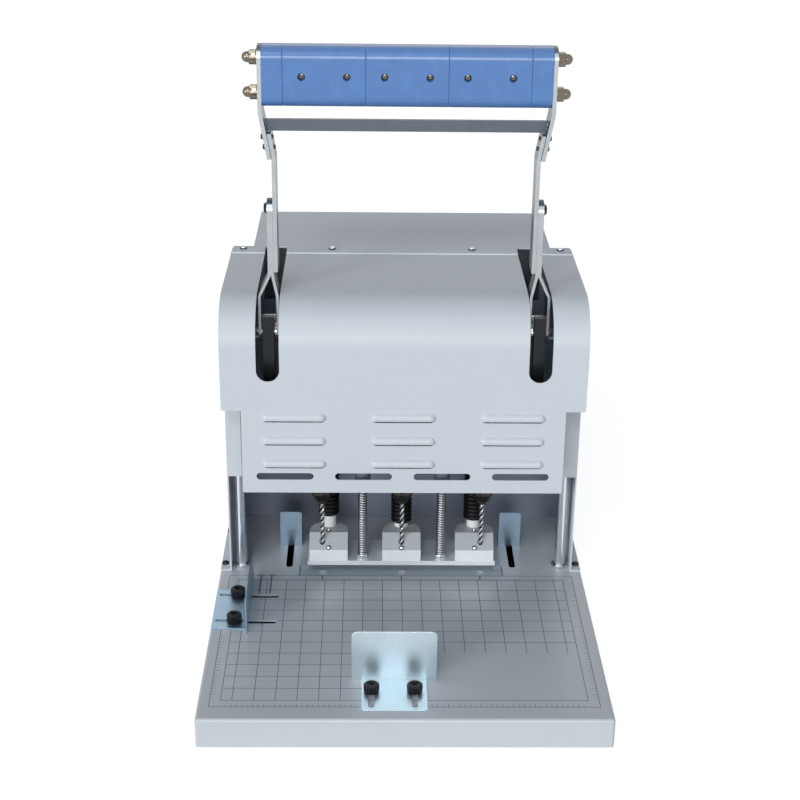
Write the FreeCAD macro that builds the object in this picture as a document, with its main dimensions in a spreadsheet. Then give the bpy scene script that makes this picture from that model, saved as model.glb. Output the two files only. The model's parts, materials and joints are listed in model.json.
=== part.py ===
import FreeCAD, Part
import math
import os
import re

import Sketcher
from FreeCAD import Rotation, Vector

# A desk-top paper drill that makes three holes at once, with dust suction.
# X runs to the operator's right, Y to the back and Z up. The origin is under
# the middle of the base, on the surface that the rubber feet stand on.
# Heights called a rise are measured from the work surface, the base's top.

SIZES = {
    # Base pan and feet
    "base_width": 383.0,
    "base_depth": 567.0,
    "pan_height": 30.0,
    "pan_sheet": 2.0,
    "pan_lip": 45.0,
    "pan_corner": 3.0,
    "foot_height": 6.0,
    "foot_diameter": 24.0,
    "foot_inset": 30.0,
    # Drilling line, die plate and cutting pads
    "drill_pitch": 83.0,
    "drill_forward": 17.0,
    "die_length": 214.0,
    "die_width": 38.0,
    "die_thickness": 6.0,
    "die_back": 5.0,
    "die_tray_wall": 5.0,
    "die_gap": 0.2,
    "die_screw_inset": 5.0,
    "pad_diameter": 9.0,
    "pad_thickness": 4.0,
    "pad_recess": 1.0,
    # Side plates and the panel between them
    "side_margin": 10.5,
    "side_sheet": 1.5,
    "side_front": 13.0,
    "side_back": 145.0,
    "side_rise": 305.3,
    "side_flange": 15.5,
    "side_flange_low": 111.4,
    "side_flange_high": 286.0,
    "side_rear_flange": 22.0,
    "foot_flange": 10.0,
    "panel_back": 112.0,
    "panel_flange": 12.0,
    "panel_notch": 45.0,
    # Guide columns
    "column_inset": 11.5,
    "column_diameter": 12.0,
    "column_rise": 216.0,
    "stud_diameter": 8.0,
    "tab_thickness": 3.0,
    "tab_reach": 22.0,
    "nut_flats": 13.0,
    "nut_height": 6.0,
    "collar_height": 3.0,
    "collar_diameter": 17.0,
    # Front cover
    "cover_overhang": 1.5,
    "cover_sheet": 1.2,
    "cover_front": 38.0,
    "cover_back": 147.0,
    "cover_rise": 306.5,
    "cover_low": 196.5,
    "cover_bend": 45.0,
    "apron_gap": 6.7,
    "apron_low": 105.5,
    "arm_inset": 46.0,
    "slot_width": 23.0,
    "slot_low": 228.0,
    "louvre_pitch": 110.0,
    "louvre_length": 66.0,
    "louvre_radius": 6.0,
    "louvre_stand": 3.5,
    "louvre_low": 137.5,
    "louvre_step": 25.5,
    "vent_margin": 14.2,
    "vent_length": 57.8,
    "vent_height": 7.5,
    "vent_rise": 123.8,
    # Rear cover
    "rear_inset": 21.5,
    "rear_sheet": 1.5,
    "rear_back": 278.5,
    "rear_corner": 4.0,
    "strip_front": 127.0,
    "strip_screw_inset": 11.0,
    "strip_screw_x": 75.0,
    "rear_vent_length": 60.0,
    "rear_vent_height": 5.0,
    "rear_vent_step": 12.0,
    # Screws
    "screw_shank": 4.0,
    "screw_head": 8.0,
    "screw_head_height": 2.4,
    "hole_clearance": 0.1,
    # Handle shaft, pinions and racks
    "shaft_rise": 264.0,
    "shaft_back": 10.0,
    "shaft_diameter": 16.0,
    "shaft_inset": 5.0,
    "running_gap": 0.03,
    "bearing_diameter": 30.0,
    "bearing_length": 20.0,
    "bearing_flange": 42.0,
    "bearing_flange_thickness": 4.0,
    "tooth_module": 1.5,
    "pinion_width": 12.0,
    "rack_thickness": 8.0,
    # Handle arms, yoke and grip
    "fork_sheet": 3.0,
    "fork_width": 22.0,
    "fork_rise": 402.0,
    "fork_bolt_rise": 392.0,
    "fork_inner": 10.5,
    "fork_outer": 7.5,
    "fork_bolt": 6.0,
    "fork_bolt_head": 13.0,
    "arm_inner": 10.0,
    "arm_thickness": 4.0,
    "arm_width": 25.0,
    "arm_low": 330.0,
    "arm_bend_rise": 444.0,
    "arm_lap_rise": 468.0,
    "lap_bolt": 4.0,
    "lap_bolt_head": 7.0,
    "yoke_low": 444.0,
    "yoke_bend_rise": 489.0,
    "yoke_width": 30.0,
    "bar_rise": 469.0,
    "bar_height": 11.5,
    "bar_thickness": 4.0,
    "grip_length": 274.0,
    "grip_cap": 20.0,
    "grip_height": 57.0,
    "grip_depth": 32.0,
    "grip_round": 11.0,
    "grip_rise": 494.0,
    "grip_seam": 0.8,
    "grip_rod": 8.0,
    "grip_rod_pitch": 33.0,
    "grip_screw_pitch": 42.6,
    "grip_screw": 6.2,
    "grip_well": 7.2,
    "acorn_length": 15.0,
    # Drill carriage
    "beam_rise": 136.0,
    "beam_height": 18.0,
    "beam_depth": 30.0,
    "beam_inset": 19.5,
    "web_height": 20.0,
    "web_reach": 30.0,
    "web_sheet": 2.5,
    "lug_diameter": 20.0,
    "lug_height": 40.0,
    "bush_diameter": 17.0,
    "housing_diameter": 25.0,
    "housing_rise": 124.0,
    "housing_height": 40.0,
    "spindle_diameter": 10.0,
    "pulley_radius": 11.7,
    "pulley_flange": 1.2,
    "belt_width": 8.0,
    "belt_thickness": 1.5,
    "belt_rise": 170.0,
    "belt_gap": 0.3,
    "shelf_thickness": 4.0,
    "shelf_width": 90.0,
    "motor_back": 62.0,
    "motor_diameter": 70.0,
    "motor_height": 70.0,
    "cup_diameter": 16.0,
    "cup_length": 36.0,
    # Chucks and drill bits
    "chuck_diameter": 22.0,
    "chuck_nose_rise": 83.0,
    "chuck_nose": 12.0,
    "chuck_length": 38.0,
    "bit_diameter": 5.0,
    "bit_tip_rise": 16.0,
    "bit_twist": 14.0,
    # Paper presser with its suction hoods
    "presser_gap": 14.0,
    "presser_width": 197.0,
    "presser_front": 25.3,
    "presser_depth": 46.0,
    "presser_thickness": 5.0,
    "rod_x": 41.0,
    "rod_diameter": 6.0,
    "rod_rise": 168.0,
    "rod_nut_flats": 10.0,
    "rod_nut_height": 5.0,
    "hood_pitch": 76.5,
    "hood_width": 40.0,
    "hood_height": 26.0,
    "hood_face": 12.2,
    "hood_front": 24.3,
    "hood_slope": 13.8,
    "hood_side": 19.0,
    "hood_screw": 2.0,
    "hood_screw_head": 4.8,
    "hood_screw_length": 1.6,
    "hood_screw_step": 1.7,
    "bit_hole": 6.6,
    "fitting_diameter": 15.0,
    "fitting_bore": 11.0,
    "hose_back": 7.5,
    "cuff_rise": 59.0,
    "hose_diameter": 22.0,
    "hose_valley": 18.6,
    "hose_bore": 15.1,
    "rib_pitch": 5.0,
    "hose_bend": 45.0,
    "hose_straight": 30.0,
    "spring_wire": 1.2,
    "spring_diameter": 9.6,
    "spring_turns": 27.0,
    # Suction manifold and motor behind the panel
    "manifold_width": 190.0,
    "manifold_depth": 24.0,
    "manifold_height": 40.0,
    "pipe_diameter": 32.0,
    "vacuum_diameter": 120.0,
    "vacuum_height": 60.0,
    "vacuum_rise": 150.0,
    "vacuum_back": 205.0,
    # Dust drawer, mains inlet and switch
    "drawer_width": 180.0,
    "drawer_height": 84.0,
    "drawer_length": 140.0,
    "drawer_wall": 2.0,
    "drawer_gap": 1.0,
    "runner_width": 8.0,
    "hold_length": 60.0,
    "hold_height": 16.0,
    "inlet_inset": 34.5,
    "inlet_width": 30.0,
    "inlet_height": 58.0,
    "inlet_depth": 28.0,
    "inlet_lip": 3.0,
    "socket_width": 24.0,
    "socket_height": 20.0,
    "inlet_rise": 50.0,
    "switch_width": 22.0,
    "switch_height": 24.0,
    "switch_gap": 0.3,
    # Side guide on the left
    "guide_inset": 36.75,
    "guide_sheet": 1.5,
    "guide_front": 139.0,
    "guide_length": 102.0,
    "guide_height": 38.0,
    "guide_flange": 36.0,
    "guide_flange_front": 131.0,
    "guide_flange_length": 76.0,
    "guide_stud_inset": 23.0,
    "guide_stud_front": 116.0,
    "guide_stud_rear": 66.0,
    "guide_slot_inset": 65.5,
    "guide_slot_length": 52.0,
    "guide_slot_width": 6.0,
    # Knurled knobs
    "knob_diameter": 15.0,
    "knob_height": 8.5,
    "knob_stud": 5.0,
    # Front stop
    "stop_x": 9.8,
    "stop_width": 80.5,
    "stop_height": 52.0,
    "stop_y": 218.0,
    "stop_flange_width": 61.0,
    "stop_flange": 54.0,
    "stop_knob_x": 10.9,
    "stop_knob_pitch": 40.3,
    "stop_knob_y": 240.0,
    "stop_slot_length": 38.0,
    "stop_round": 6.0,
    # Back stops
    "back_stop_x": 119.0,
    "back_stop_width": 24.0,
    "back_stop_height": 41.0,
    "back_stop_y": 42.0,
    "back_stop_foot": 24.0,
    "back_slot_width": 7.0,
    "back_slot_front": 5.0,
}

PINION_TEETH = 20
GRIP_SEGMENTS = 3
BACKLASH = 0.3
ROCKER_TILT = 6
STATIONS = (("left", -1), ("middle", 0), ("right", 1))

# Places that follow from the sizes and are used like them
DERIVED = {
    "side_outer": "(base_width / 2 - side_margin)",
    "column_x": "(side_outer - column_inset)",
    "cover_width": "(2 * (side_outer + cover_overhang))",
    "apron_width": "(2 * (column_x - apron_gap))",
    "strip_width": "(2 * side_outer)",
    "rear_width": "(2 * (side_outer - rear_inset))",
    "vent_pitch": "((apron_width - vent_length - 2 * vent_margin) / 3)",
    "shaft_length": "(2 * (side_outer - shaft_inset))",
    "arm_x": "(side_outer - arm_inset)",
    "fork_inner_x": "(arm_x - fork_inner)",
    "fork_outer_x": "(arm_x + fork_outer)",
    "arm_inner_x": "(arm_x - arm_inner)",
    "yoke_x": "(grip_length / 2)",
    "beam_half": "(column_x - beam_inset)",
    "inlet_x": "(rear_width / 2 - inlet_inset)",
    "guide_x": "(base_width / 2 - guide_inset)",
    "guide_stud_x": "(base_width / 2 - guide_stud_inset)",
    "guide_slot_end": "(base_width / 2 - guide_slot_inset)",
}

# Places that several pieces share, written with the names of the sizes
TOP = "(foot_height + pan_height)"
DRILL_Y = "(-drill_forward)"
SHAFT_Z = f"({TOP} + shaft_rise)"
BEAM_Z = f"({TOP} + beam_rise)"
BEAM_TOP = f"({BEAM_Z} + beam_height)"
COVER_TOP = f"({TOP} + cover_rise)"
PRESSER_Z = f"({TOP} + presser_gap)"
PRESSER_TOP = f"({PRESSER_Z} + presser_thickness)"
HOOD_TOP = f"({PRESSER_TOP} + hood_height)"
SIDE_INNER = "(side_outer - side_sheet)"
GRIP_Z = f"({TOP} + grip_rise)"
SCREW_HOLE = "((screw_shank + 2 * hole_clearance) / 2)"

doc = FreeCAD.newDocument("paper_drill")
sheet = doc.addObject("Spreadsheet::Sheet", "sizes")
for row, (alias, value) in enumerate(SIZES.items(), start=1):
    sheet.set(f"A{row}", alias)
    sheet.set(f"B{row}", str(value))
    sheet.setAlias(f"B{row}", alias)
doc.recompute()

NODES = []


def size(alias):
    """The number in the sheet's cell of this name."""
    return float(sheet.get(alias))


def top():
    """Height of the work surface."""
    return size("foot_height") + size("pan_height")


def link(text):
    """An expression with each size's name turned into a reference to its cell."""

    def reference(word):
        name = word[0]
        if name in DERIVED:
            return link(DERIVED[name])
        return "sizes." + name if name in SIZES else name

    return re.sub(r"[a-z_]+", reference, str(text))


def arm_middle():
    """Distance of each handle arm from the middle of the machine."""
    return size("base_width") / 2 - size("side_margin") - size("arm_inset")


def bind(thing, prop, text):
    thing.setExpression(prop, link(text))


def place(thing, x, y, z):
    bind(thing, "Placement.Base.x", x)
    bind(thing, "Placement.Base.y", y)
    bind(thing, "Placement.Base.z", z)
    return thing


def keep(label, thing):
    """Names a finished sub-part."""
    thing.Label = label
    NODES.append(thing)


def block(name, x, y, z, wide, deep, high):
    """A box centred on x and y, standing on z."""
    box = doc.addObject("Part::Box", name)
    bind(box, "Length", wide)
    bind(box, "Width", deep)
    bind(box, "Height", high)
    return place(box, f"({x}) - ({wide}) / 2", f"({y}) - ({deep}) / 2", z)


DIRECTIONS = {
    "+X": Vector(1, 0, 0),
    "-X": Vector(-1, 0, 0),
    "+Y": Vector(0, 1, 0),
    "-Y": Vector(0, -1, 0),
    "+Z": Vector(0, 0, 1),
    "-Z": Vector(0, 0, -1),
    "+Y-Z": Vector(0, 1, -1),
    "-Y+Z": Vector(0, -1, 1),
}


def rod(name, x, y, z, radius, length, way="+Z"):
    """A cylinder that starts at a point and runs one way."""
    cylinder = doc.addObject("Part::Cylinder", name)
    cylinder.Placement.Rotation = Rotation(Vector(0, 0, 1), DIRECTIONS[way])
    bind(cylinder, "Radius", radius)
    bind(cylinder, "Height", length)
    return place(cylinder, x, y, z)


def cone(name, x, y, z, radius, end_radius, length, way="+Z"):
    """A tapered cylinder that starts at a point and runs one way."""
    taper = doc.addObject("Part::Cone", name)
    taper.Placement.Rotation = Rotation(Vector(0, 0, 1), DIRECTIONS[way])
    bind(taper, "Radius1", radius)
    bind(taper, "Radius2", end_radius)
    bind(taper, "Height", length)
    return place(taper, x, y, z)


def hexagon(name, x, y, z, flats, length, way="+Z"):
    """A hexagonal prism, as of a nut."""
    prism = doc.addObject("Part::Prism", name)
    prism.Polygon = 6
    prism.Placement.Rotation = Rotation(Vector(0, 0, 1), DIRECTIONS[way])
    bind(prism, "Circumradius", f"({flats}) / sqrt(3)")
    bind(prism, "Height", length)
    return place(prism, x, y, z)


def union(name, *pieces):
    fused = doc.addObject("Part::MultiFuse", name)
    fused.Shapes = list(pieces)
    return fused


def cut(name, base, *tools):
    result = doc.addObject("Part::Cut", name)
    result.Base = base
    result.Tool = tools[0] if len(tools) == 1 else union(name + "_tools", *tools)
    return result


def common(name, one, other):
    result = doc.addObject("Part::Common", name)
    result.Base = one
    result.Tool = other
    return result


def group(name, *pieces):
    """Separate solids that are kept together as one sub-part."""
    collection = doc.addObject("Part::Compound", name)
    collection.Links = list(pieces)
    return collection


def mirrored(name, source):
    """The same piece on the other side of the machine."""
    copy = doc.addObject("Part::Mirroring", name)
    copy.Source = source
    copy.Normal = Vector(1, 0, 0)
    copy.Base = Vector(0, 0, 0)
    return copy


def rounded(name, base, radius, chosen):
    """Fillets the edges for which chosen(edge) is true."""
    doc.recompute()
    fillet = doc.addObject("Part::Fillet", name)
    fillet.Base = base
    fillet.Edges = [
        (number, radius, radius)
        for number, edge in enumerate(base.Shape.Edges, start=1)
        if chosen(edge)
    ]
    return fillet


def runs_along(edge, axis):
    """Whether a straight edge is parallel to an axis."""
    start, end = edge.Vertexes[0].Point, edge.Vertexes[-1].Point
    return (end - start).cross(DIRECTIONS["+" + axis]).Length < 0.001


def middle(edge):
    return (edge.Vertexes[0].Point + edge.Vertexes[-1].Point) * 0.5


def outline(name, plane, corners, thickness):
    """A body padded both ways from a straight-sided outline, whose corners are expressions."""
    body = doc.addObject("PartDesign::Body", name)
    sketch = body.newObject("Sketcher::SketchObject", name + "_outline")
    support = [f for f in body.Origin.OriginFeatures if f.Role == plane + "_Plane"][0]
    sketch.AttachmentSupport = [(support, "")]
    sketch.MapMode = "FlatFace"
    count = len(corners)
    turn = 2 * math.pi / count
    start = [Vector(math.cos(turn * i), math.sin(turn * i), 0) for i in range(count)]
    for i in range(count):
        sketch.addGeometry(Part.LineSegment(start[i], start[(i + 1) % count]))
    for i in range(count):
        sketch.addConstraint(Sketcher.Constraint("Coincident", i, 2, (i + 1) % count, 1))
    for i, corner in enumerate(corners):
        for kind, text in zip(("DistanceX", "DistanceY"), corner):
            number = sketch.addConstraint(Sketcher.Constraint(kind, -1, 1, i, 1, 1.0))
            sketch.setExpression(f"Constraints[{number}]", link(text))
    pad = body.newObject("PartDesign::Pad", name + "_pad")
    pad.Profile = sketch
    pad.SideType = "Symmetric"
    bind(pad, "Length", thickness)
    return body


def shaped(name, shape):
    """A piece whose form comes from a formula."""
    feature = doc.addObject("Part::Feature", name)
    feature.Shape = shape
    return feature


def slot(name, x, y, z, length, width, high, along="X"):
    """An upright cutter with round ends."""
    span = f"(({length}) - ({width}))"
    half = f"({span} / 2)"
    if along == "X":
        flat = block(name + "_flat", x, y, z, span, width, high)
        ends = [(f"({x}) - {half}", y), (f"({x}) + {half}", y)]
    else:
        flat = block(name + "_flat", x, y, z, width, span, high)
        ends = [(x, f"({y}) - {half}"), (x, f"({y}) + {half}")]
    rounds = [
        rod(f"{name}_end_{i}", end[0], end[1], z, f"({width}) / 2", high)
        for i, end in enumerate(ends)
    ]
    return union(name, flat, *rounds)


def facing_slot(name, x, y, z, length, height, deep):
    """A cutter with round ends through a wall that faces front or back."""
    span = f"(({length}) - ({height}))"
    flat = block(name + "_flat", x, y, f"({z}) - ({height}) / 2", span, deep, height)
    start = f"({y}) - ({deep}) / 2"
    rounds = [
        rod(f"{name}_end_{i}", f"({x}) {sign} {span} / 2", start, z, f"({height}) / 2", deep, "+Y")
        for i, sign in enumerate("-+")
    ]
    return union(name, flat, *rounds)


OPPOSITE = {
    "+X": "-X",
    "-X": "+X",
    "+Y": "-Y",
    "-Y": "+Y",
    "+Z": "-Z",
    "-Z": "+Z",
    "+Y-Z": "-Y+Z",
}


def screw(name, seat, way, length, shank="screw_shank", head="screw_head", high="screw_head_height"):
    """A pan-head screw whose head sits on a point and whose shank runs one way."""
    x, y, z = seat
    stem = rod(name + "_shank", x, y, z, f"({shank}) / 2", length, way)
    button = cone(
        name + "_head", x, y, z, f"({head}) / 2", f"({head}) * 0.32", high, OPPOSITE[way]
    )
    return union(name, stem, button)


def across(index, pitch):
    """X of the left, middle or right one of three."""
    return f"({index} * {pitch})"


SIDE_SCREWS_Y = ("0", "side_back / 2", "side_back - 12")
REAR_SCREWS_Y = ("side_back + 25", "rear_back - 25")
PANEL_SCREWS_X = ("-140", "140")
STRIP_SCREWS_X = ("(strip_width / 2 - strip_screw_inset)", "strip_screw_x")
STRIP_SCREWS_Y = "(strip_front + 13)"
FOOT_SCREW_X = "(side_outer + foot_flange / 2 + 1)"
REAR_FOOT_X = "(rear_width / 2 + 6)"
BEARING_BOLT = "(bearing_flange / 2 - 6)"


def base_pan():
    shell = block("pan_outside", "0", "0", "foot_height", "base_width", "base_depth", "pan_height")
    bottom = size("foot_height")
    shell = rounded(
        "pan_bent",
        shell,
        size("pan_corner"),
        lambda edge: runs_along(edge, "Z") or middle(edge).z > bottom + 1,
    )
    inside = block(
        "pan_inside",
        "0",
        "0",
        "foot_height + pan_sheet",
        "base_width - 2 * pan_sheet",
        "base_depth - 2 * pan_sheet",
        "pan_height - 2 * pan_sheet",
    )
    opening = block(
        "pan_opening",
        "0",
        "0",
        "foot_height - pan_sheet",
        "base_width - 2 * pan_lip",
        "base_depth - 2 * pan_lip",
        "3 * pan_sheet",
    )
    hollow = cut("pan_hollow", shell, inside, opening)
    tray = block(
        "die_tray",
        "0",
        "-die_back",
        f"{TOP} - die_thickness - pan_sheet",
        "die_length + 2 * die_tray_wall",
        "die_width + 2 * die_tray_wall",
        "die_thickness + 0.5 * pan_sheet",
    )
    whole = union("pan_with_tray", hollow, tray)
    cutters = [
        block(
            "die_pocket",
            "0",
            "-die_back",
            f"{TOP} - die_thickness",
            "die_length + 2 * die_gap",
            "die_width + 2 * die_gap",
            "2 * die_thickness",
        )
    ]
    through = "4 * pan_sheet"
    low = f"{TOP} - 2 * pan_sheet"
    for end, place_y in (("front", "-guide_stud_front"), ("rear", "-guide_stud_rear")):
        cutters.append(
            slot(
                f"guide_slot_{end}",
                "-(guide_slot_end + guide_slot_length / 2)",
                place_y,
                low,
                "guide_slot_length",
                "guide_slot_width",
                through,
            )
        )
    for side in ("-", ""):
        cutters.append(
            slot(
                f"back_slot{'_left' if side else '_right'}",
                f"{side}back_stop_x",
                "(back_stop_y + back_stop_foot - 4 - back_slot_front) / 2",
                low,
                "back_stop_y + back_stop_foot - 4 + back_slot_front",
                "back_slot_width",
                through,
                "Y",
            )
        )
    holes = [
        (f"{side}column_x", "0", "stud_diameter / 2 + hole_clearance") for side in ("-", "")
    ]
    holes += [
        (f"-stop_knob_x {sign} stop_knob_pitch / 2", "-stop_knob_y", "knob_stud / 2 + hole_clearance")
        for sign in "-+"
    ]
    holes += [
        (f"{side}{FOOT_SCREW_X}", place_y, SCREW_HOLE)
        for side in ("-", "")
        for place_y in SIDE_SCREWS_Y
    ]
    holes += [
        (f"{side}{REAR_FOOT_X}", place_y, SCREW_HOLE)
        for side in ("-", "")
        for place_y in REAR_SCREWS_Y
    ]
    holes += [(place_x, "panel_back + panel_flange / 2 + 1", SCREW_HOLE) for place_x in PANEL_SCREWS_X]
    for number, (place_x, place_y, radius) in enumerate(holes):
        cutters.append(rod(f"pan_hole_{number}", place_x, place_y, low, radius, through))
    keep("base_pan", cut("base_pan", whole, *cutters))

    feet = []
    for side in ("-", ""):
        for end in ("-", ""):
            feet.append(
                cone(
                    f"foot{'_left' if side else '_right'}{'_front' if end else '_back'}",
                    f"{side}(base_width / 2 - foot_inset)",
                    f"{end}(base_depth / 2 - foot_inset)",
                    "0",
                    "foot_diameter / 2 - 1.5",
                    "foot_diameter / 2",
                    "foot_height",
                )
            )
    keep("rubber_feet", group("rubber_feet", *feet))


def die():
    plate = block(
        "die_blank", "0", "-die_back", f"{TOP} - die_thickness", "die_length", "die_width", "die_thickness"
    )
    wells = [
        rod(
            f"pad_well_{side}",
            across(index, "drill_pitch"),
            DRILL_Y,
            f"{TOP} - pad_thickness",
            "pad_diameter / 2",
            "2 * pad_thickness",
        )
        for side, index in STATIONS
    ]
    screw_holes = [
        rod(
            f"die_screw_hole{'_left' if side else '_right'}",
            f"{side}(die_length / 2 - die_screw_inset)",
            "-die_back",
            f"{TOP} - 2 * die_thickness",
            SCREW_HOLE,
            "3 * die_thickness",
        )
        for side in ("-", "")
    ]
    keep("die_plate", cut("die_plate", plate, *wells, *screw_holes))
    pads = [
        rod(
            f"pad_{side}",
            across(index, "drill_pitch"),
            DRILL_Y,
            f"{TOP} - pad_thickness",
            "pad_diameter / 2 - hole_clearance",
            "pad_thickness - pad_recess",
        )
        for side, index in STATIONS
    ]
    keep("cutting_pads", group("cutting_pads", *pads))


def side_plates():
    web = outline(
        "side_web",
        "YZ",
        [
            ("-side_front", "0"),
            ("side_back", "0"),
            ("side_back", "side_rise"),
            ("shaft_back", "side_rise"),
            ("-side_front", "side_flange_high + 3"),
        ],
        "side_sheet",
    )
    place(web, "-(side_outer - side_sheet / 2)", "0", TOP)
    front = block(
        "side_front_flange",
        "-(side_outer - side_flange / 2)",
        "-(side_front - side_sheet / 2)",
        f"{TOP} + side_flange_low",
        "side_flange",
        "side_sheet",
        "side_flange_high - side_flange_low",
    )
    rear = block(
        "side_rear_flange",
        "-(side_outer - side_rear_flange / 2)",
        "side_back - side_sheet / 2",
        TOP,
        "side_rear_flange",
        "side_sheet",
        "side_rise",
    )
    upper = block(
        "side_top_flange",
        "-(side_outer - side_rear_flange / 2)",
        "(panel_back + 2 * side_sheet + side_back) / 2",
        f"{TOP} + side_rise - side_sheet",
        "side_rear_flange",
        "side_back - panel_back - 2 * side_sheet",
        "side_sheet",
    )
    foot = block(
        "side_foot_flange",
        "-(side_outer + foot_flange / 2 - side_sheet / 2)",
        "(side_back - side_front) / 2",
        TOP,
        "foot_flange + side_sheet",
        "side_back + side_front",
        "side_sheet",
    )
    tab = block(
        "column_tab",
        "-(side_outer - tab_reach / 2)",
        "0",
        f"{TOP} + column_rise",
        "tab_reach",
        "tab_reach",
        "tab_thickness",
    )
    plate = union("side_folded", web, front, rear, upper, foot, tab)
    cutters = [
        rod(
            "tab_hole",
            "-column_x",
            "0",
            f"{TOP} + column_rise - tab_thickness",
            "stud_diameter / 2 + hole_clearance",
            "3 * tab_thickness",
        ),
        rod(
            "side_strip_hole",
            f"-{STRIP_SCREWS_X[0]}",
            STRIP_SCREWS_Y,
            f"{TOP} + side_rise - 3 * side_sheet",
            SCREW_HOLE,
            "6 * side_sheet",
        ),
    ]
    for number, place_y in enumerate(SIDE_SCREWS_Y):
        cutters.append(
            rod(
                f"side_foot_hole_{number}",
                f"-{FOOT_SCREW_X}",
                place_y,
                f"{TOP} - side_sheet",
                SCREW_HOLE,
                "3 * side_sheet",
            )
        )
    for number, (over, up) in enumerate((("-", "-"), ("-", "+"), ("+", "-"), ("+", "+"))):
        cutters.append(
            rod(
                f"bearing_hole_{number}",
                "-side_outer - side_sheet",
                f"shaft_back {over} {BEARING_BOLT}",
                f"{SHAFT_Z} {up} {BEARING_BOLT}",
                SCREW_HOLE,
                "4 * side_sheet",
                "+X",
            )
        )
    left = cut("side_plate_left", plate, *cutters)
    keep("side_plates", group("side_plates", left, mirrored("side_plate_right", left)))


def back_panel():
    wide = f"2 * ({SIDE_INNER} - die_gap)"
    sheet_y = "panel_back + side_sheet / 2"
    web = block("panel_web", "0", sheet_y, TOP, wide, "side_sheet", "side_rise")
    upper = block(
        "panel_top_flange",
        "0",
        "(panel_back + cover_back) / 2",
        f"{TOP} + side_rise - side_sheet",
        "2 * (arm_x - slot_width / 2 - 3)",
        "cover_back - panel_back",
        "side_sheet",
    )
    foot = block(
        "panel_foot_flange",
        "0",
        "panel_back + panel_flange / 2",
        TOP,
        wide,
        "panel_flange",
        "side_sheet",
    )
    panel = union("panel_folded", web, upper, foot)
    cutters = [
        block(
            f"panel_notch{'_left' if side else '_right'}",
            f"{side}arm_x",
            sheet_y,
            f"{TOP} + side_rise - panel_notch",
            "slot_width",
            "6 * side_sheet",
            "2 * panel_notch",
        )
        for side in ("-", "")
    ]
    cutters += [
        rod(
            "panel_pipe_hole",
            "0",
            "panel_back - side_sheet",
            f"{TOP} + cuff_rise + hose_straight + hose_bend",
            "pipe_diameter / 2 + 4 * hole_clearance",
            "4 * side_sheet",
            "+Y",
        )
    ]
    cutters += [
        rod(
            f"panel_strip_hole{'_left' if side else '_right'}",
            f"{side}{STRIP_SCREWS_X[1]}",
            STRIP_SCREWS_Y,
            f"{TOP} + side_rise - 3 * side_sheet",
            SCREW_HOLE,
            "6 * side_sheet",
        )
        for side in ("-", "")
    ]
    cutters += [
        rod(
            f"panel_foot_hole_{number}",
            place_x,
            "panel_back + panel_flange / 2 + 1",
            f"{TOP} - side_sheet",
            SCREW_HOLE,
            "3 * side_sheet",
        )
        for number, place_x in enumerate(PANEL_SCREWS_X)
    ]
    keep("back_panel", cut("back_panel", panel, *cutters))


def guide_columns():
    columns = []
    nuts = []
    for side in ("-", ""):
        name = "left" if side else "right"
        place_x = f"{side}column_x"
        columns.append(
            union(
                f"column_{name}",
                rod(f"column_{name}_body", place_x, "0", TOP, "column_diameter / 2", "column_rise"),
                rod(
                    f"column_{name}_studs",
                    place_x,
                    "0",
                    f"{TOP} - pan_sheet - nut_height - 2",
                    "stud_diameter / 2",
                    "pan_sheet + column_rise + tab_thickness + 2 * nut_height + 4",
                ),
            )
        )
        bore = rod(
            f"nut_{name}_bore",
            place_x,
            "0",
            TOP + " - 20",
            "stud_diameter / 2 + hole_clearance / 2",
            "column_rise + 60",
        )
        under = hexagon(
            f"nut_{name}_under",
            place_x,
            "0",
            f"{TOP} - pan_sheet - nut_height",
            "nut_flats",
            "nut_height",
        )
        over = hexagon(
            f"nut_{name}_over",
            place_x,
            "0",
            f"{TOP} + column_rise + tab_thickness",
            "nut_flats",
            "nut_height",
        )
        nuts.append(cut(f"nuts_{name}", union(f"nuts_{name}_blanks", under, over), bore))
        collar = rod(f"collar_{name}_blank", place_x, "0", TOP, "collar_diameter / 2", "collar_height")
        collar_bore = rod(
            f"collar_{name}_bore",
            place_x,
            "0",
            TOP + " - 1",
            "column_diameter / 2 + hole_clearance",
            "collar_height + 2",
        )
        nuts.append(cut(f"collar_{name}", collar, collar_bore))
    keep("guide_columns", group("guide_columns", *columns))
    keep("column_nuts", group("column_nuts", *nuts))


def arm_slot_cutters(name):
    """Cutters for the slots that the handle's arms swing in."""
    deep = "cover_front + cover_back + 20"
    middle_y = "(cover_back - cover_front - 20) / 2"
    cutters = []
    for side in ("-", ""):
        label = name + ("_left" if side else "_right")
        round_z = f"{TOP} + slot_low + slot_width / 2"
        cutters.append(
            block(
                label, f"{side}arm_x", middle_y, round_z, "slot_width", deep, "cover_rise - slot_low"
            )
        )
        cutters.append(
            rod(
                label + "_round",
                f"{side}arm_x",
                "-cover_front - 20",
                round_z,
                "slot_width / 2",
                "cover_sheet + 40",
                "+Y",
            )
        )
    return cutters


def capsule(name, x, y, z, radius, length):
    """A cylinder along X with round ends."""
    span = f"(({length}) - 2 * ({radius}))"
    body = rod(name + "_body", f"({x}) - {span} / 2", y, z, radius, span, "+X")
    ends = []
    for i, sign in enumerate("-+"):
        ball = doc.addObject("Part::Sphere", f"{name}_end_{i}")
        bind(ball, "Radius", radius)
        ends.append(place(ball, f"({x}) {sign} {span} / 2", y, z))
    return union(name, body, *ends)


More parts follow.
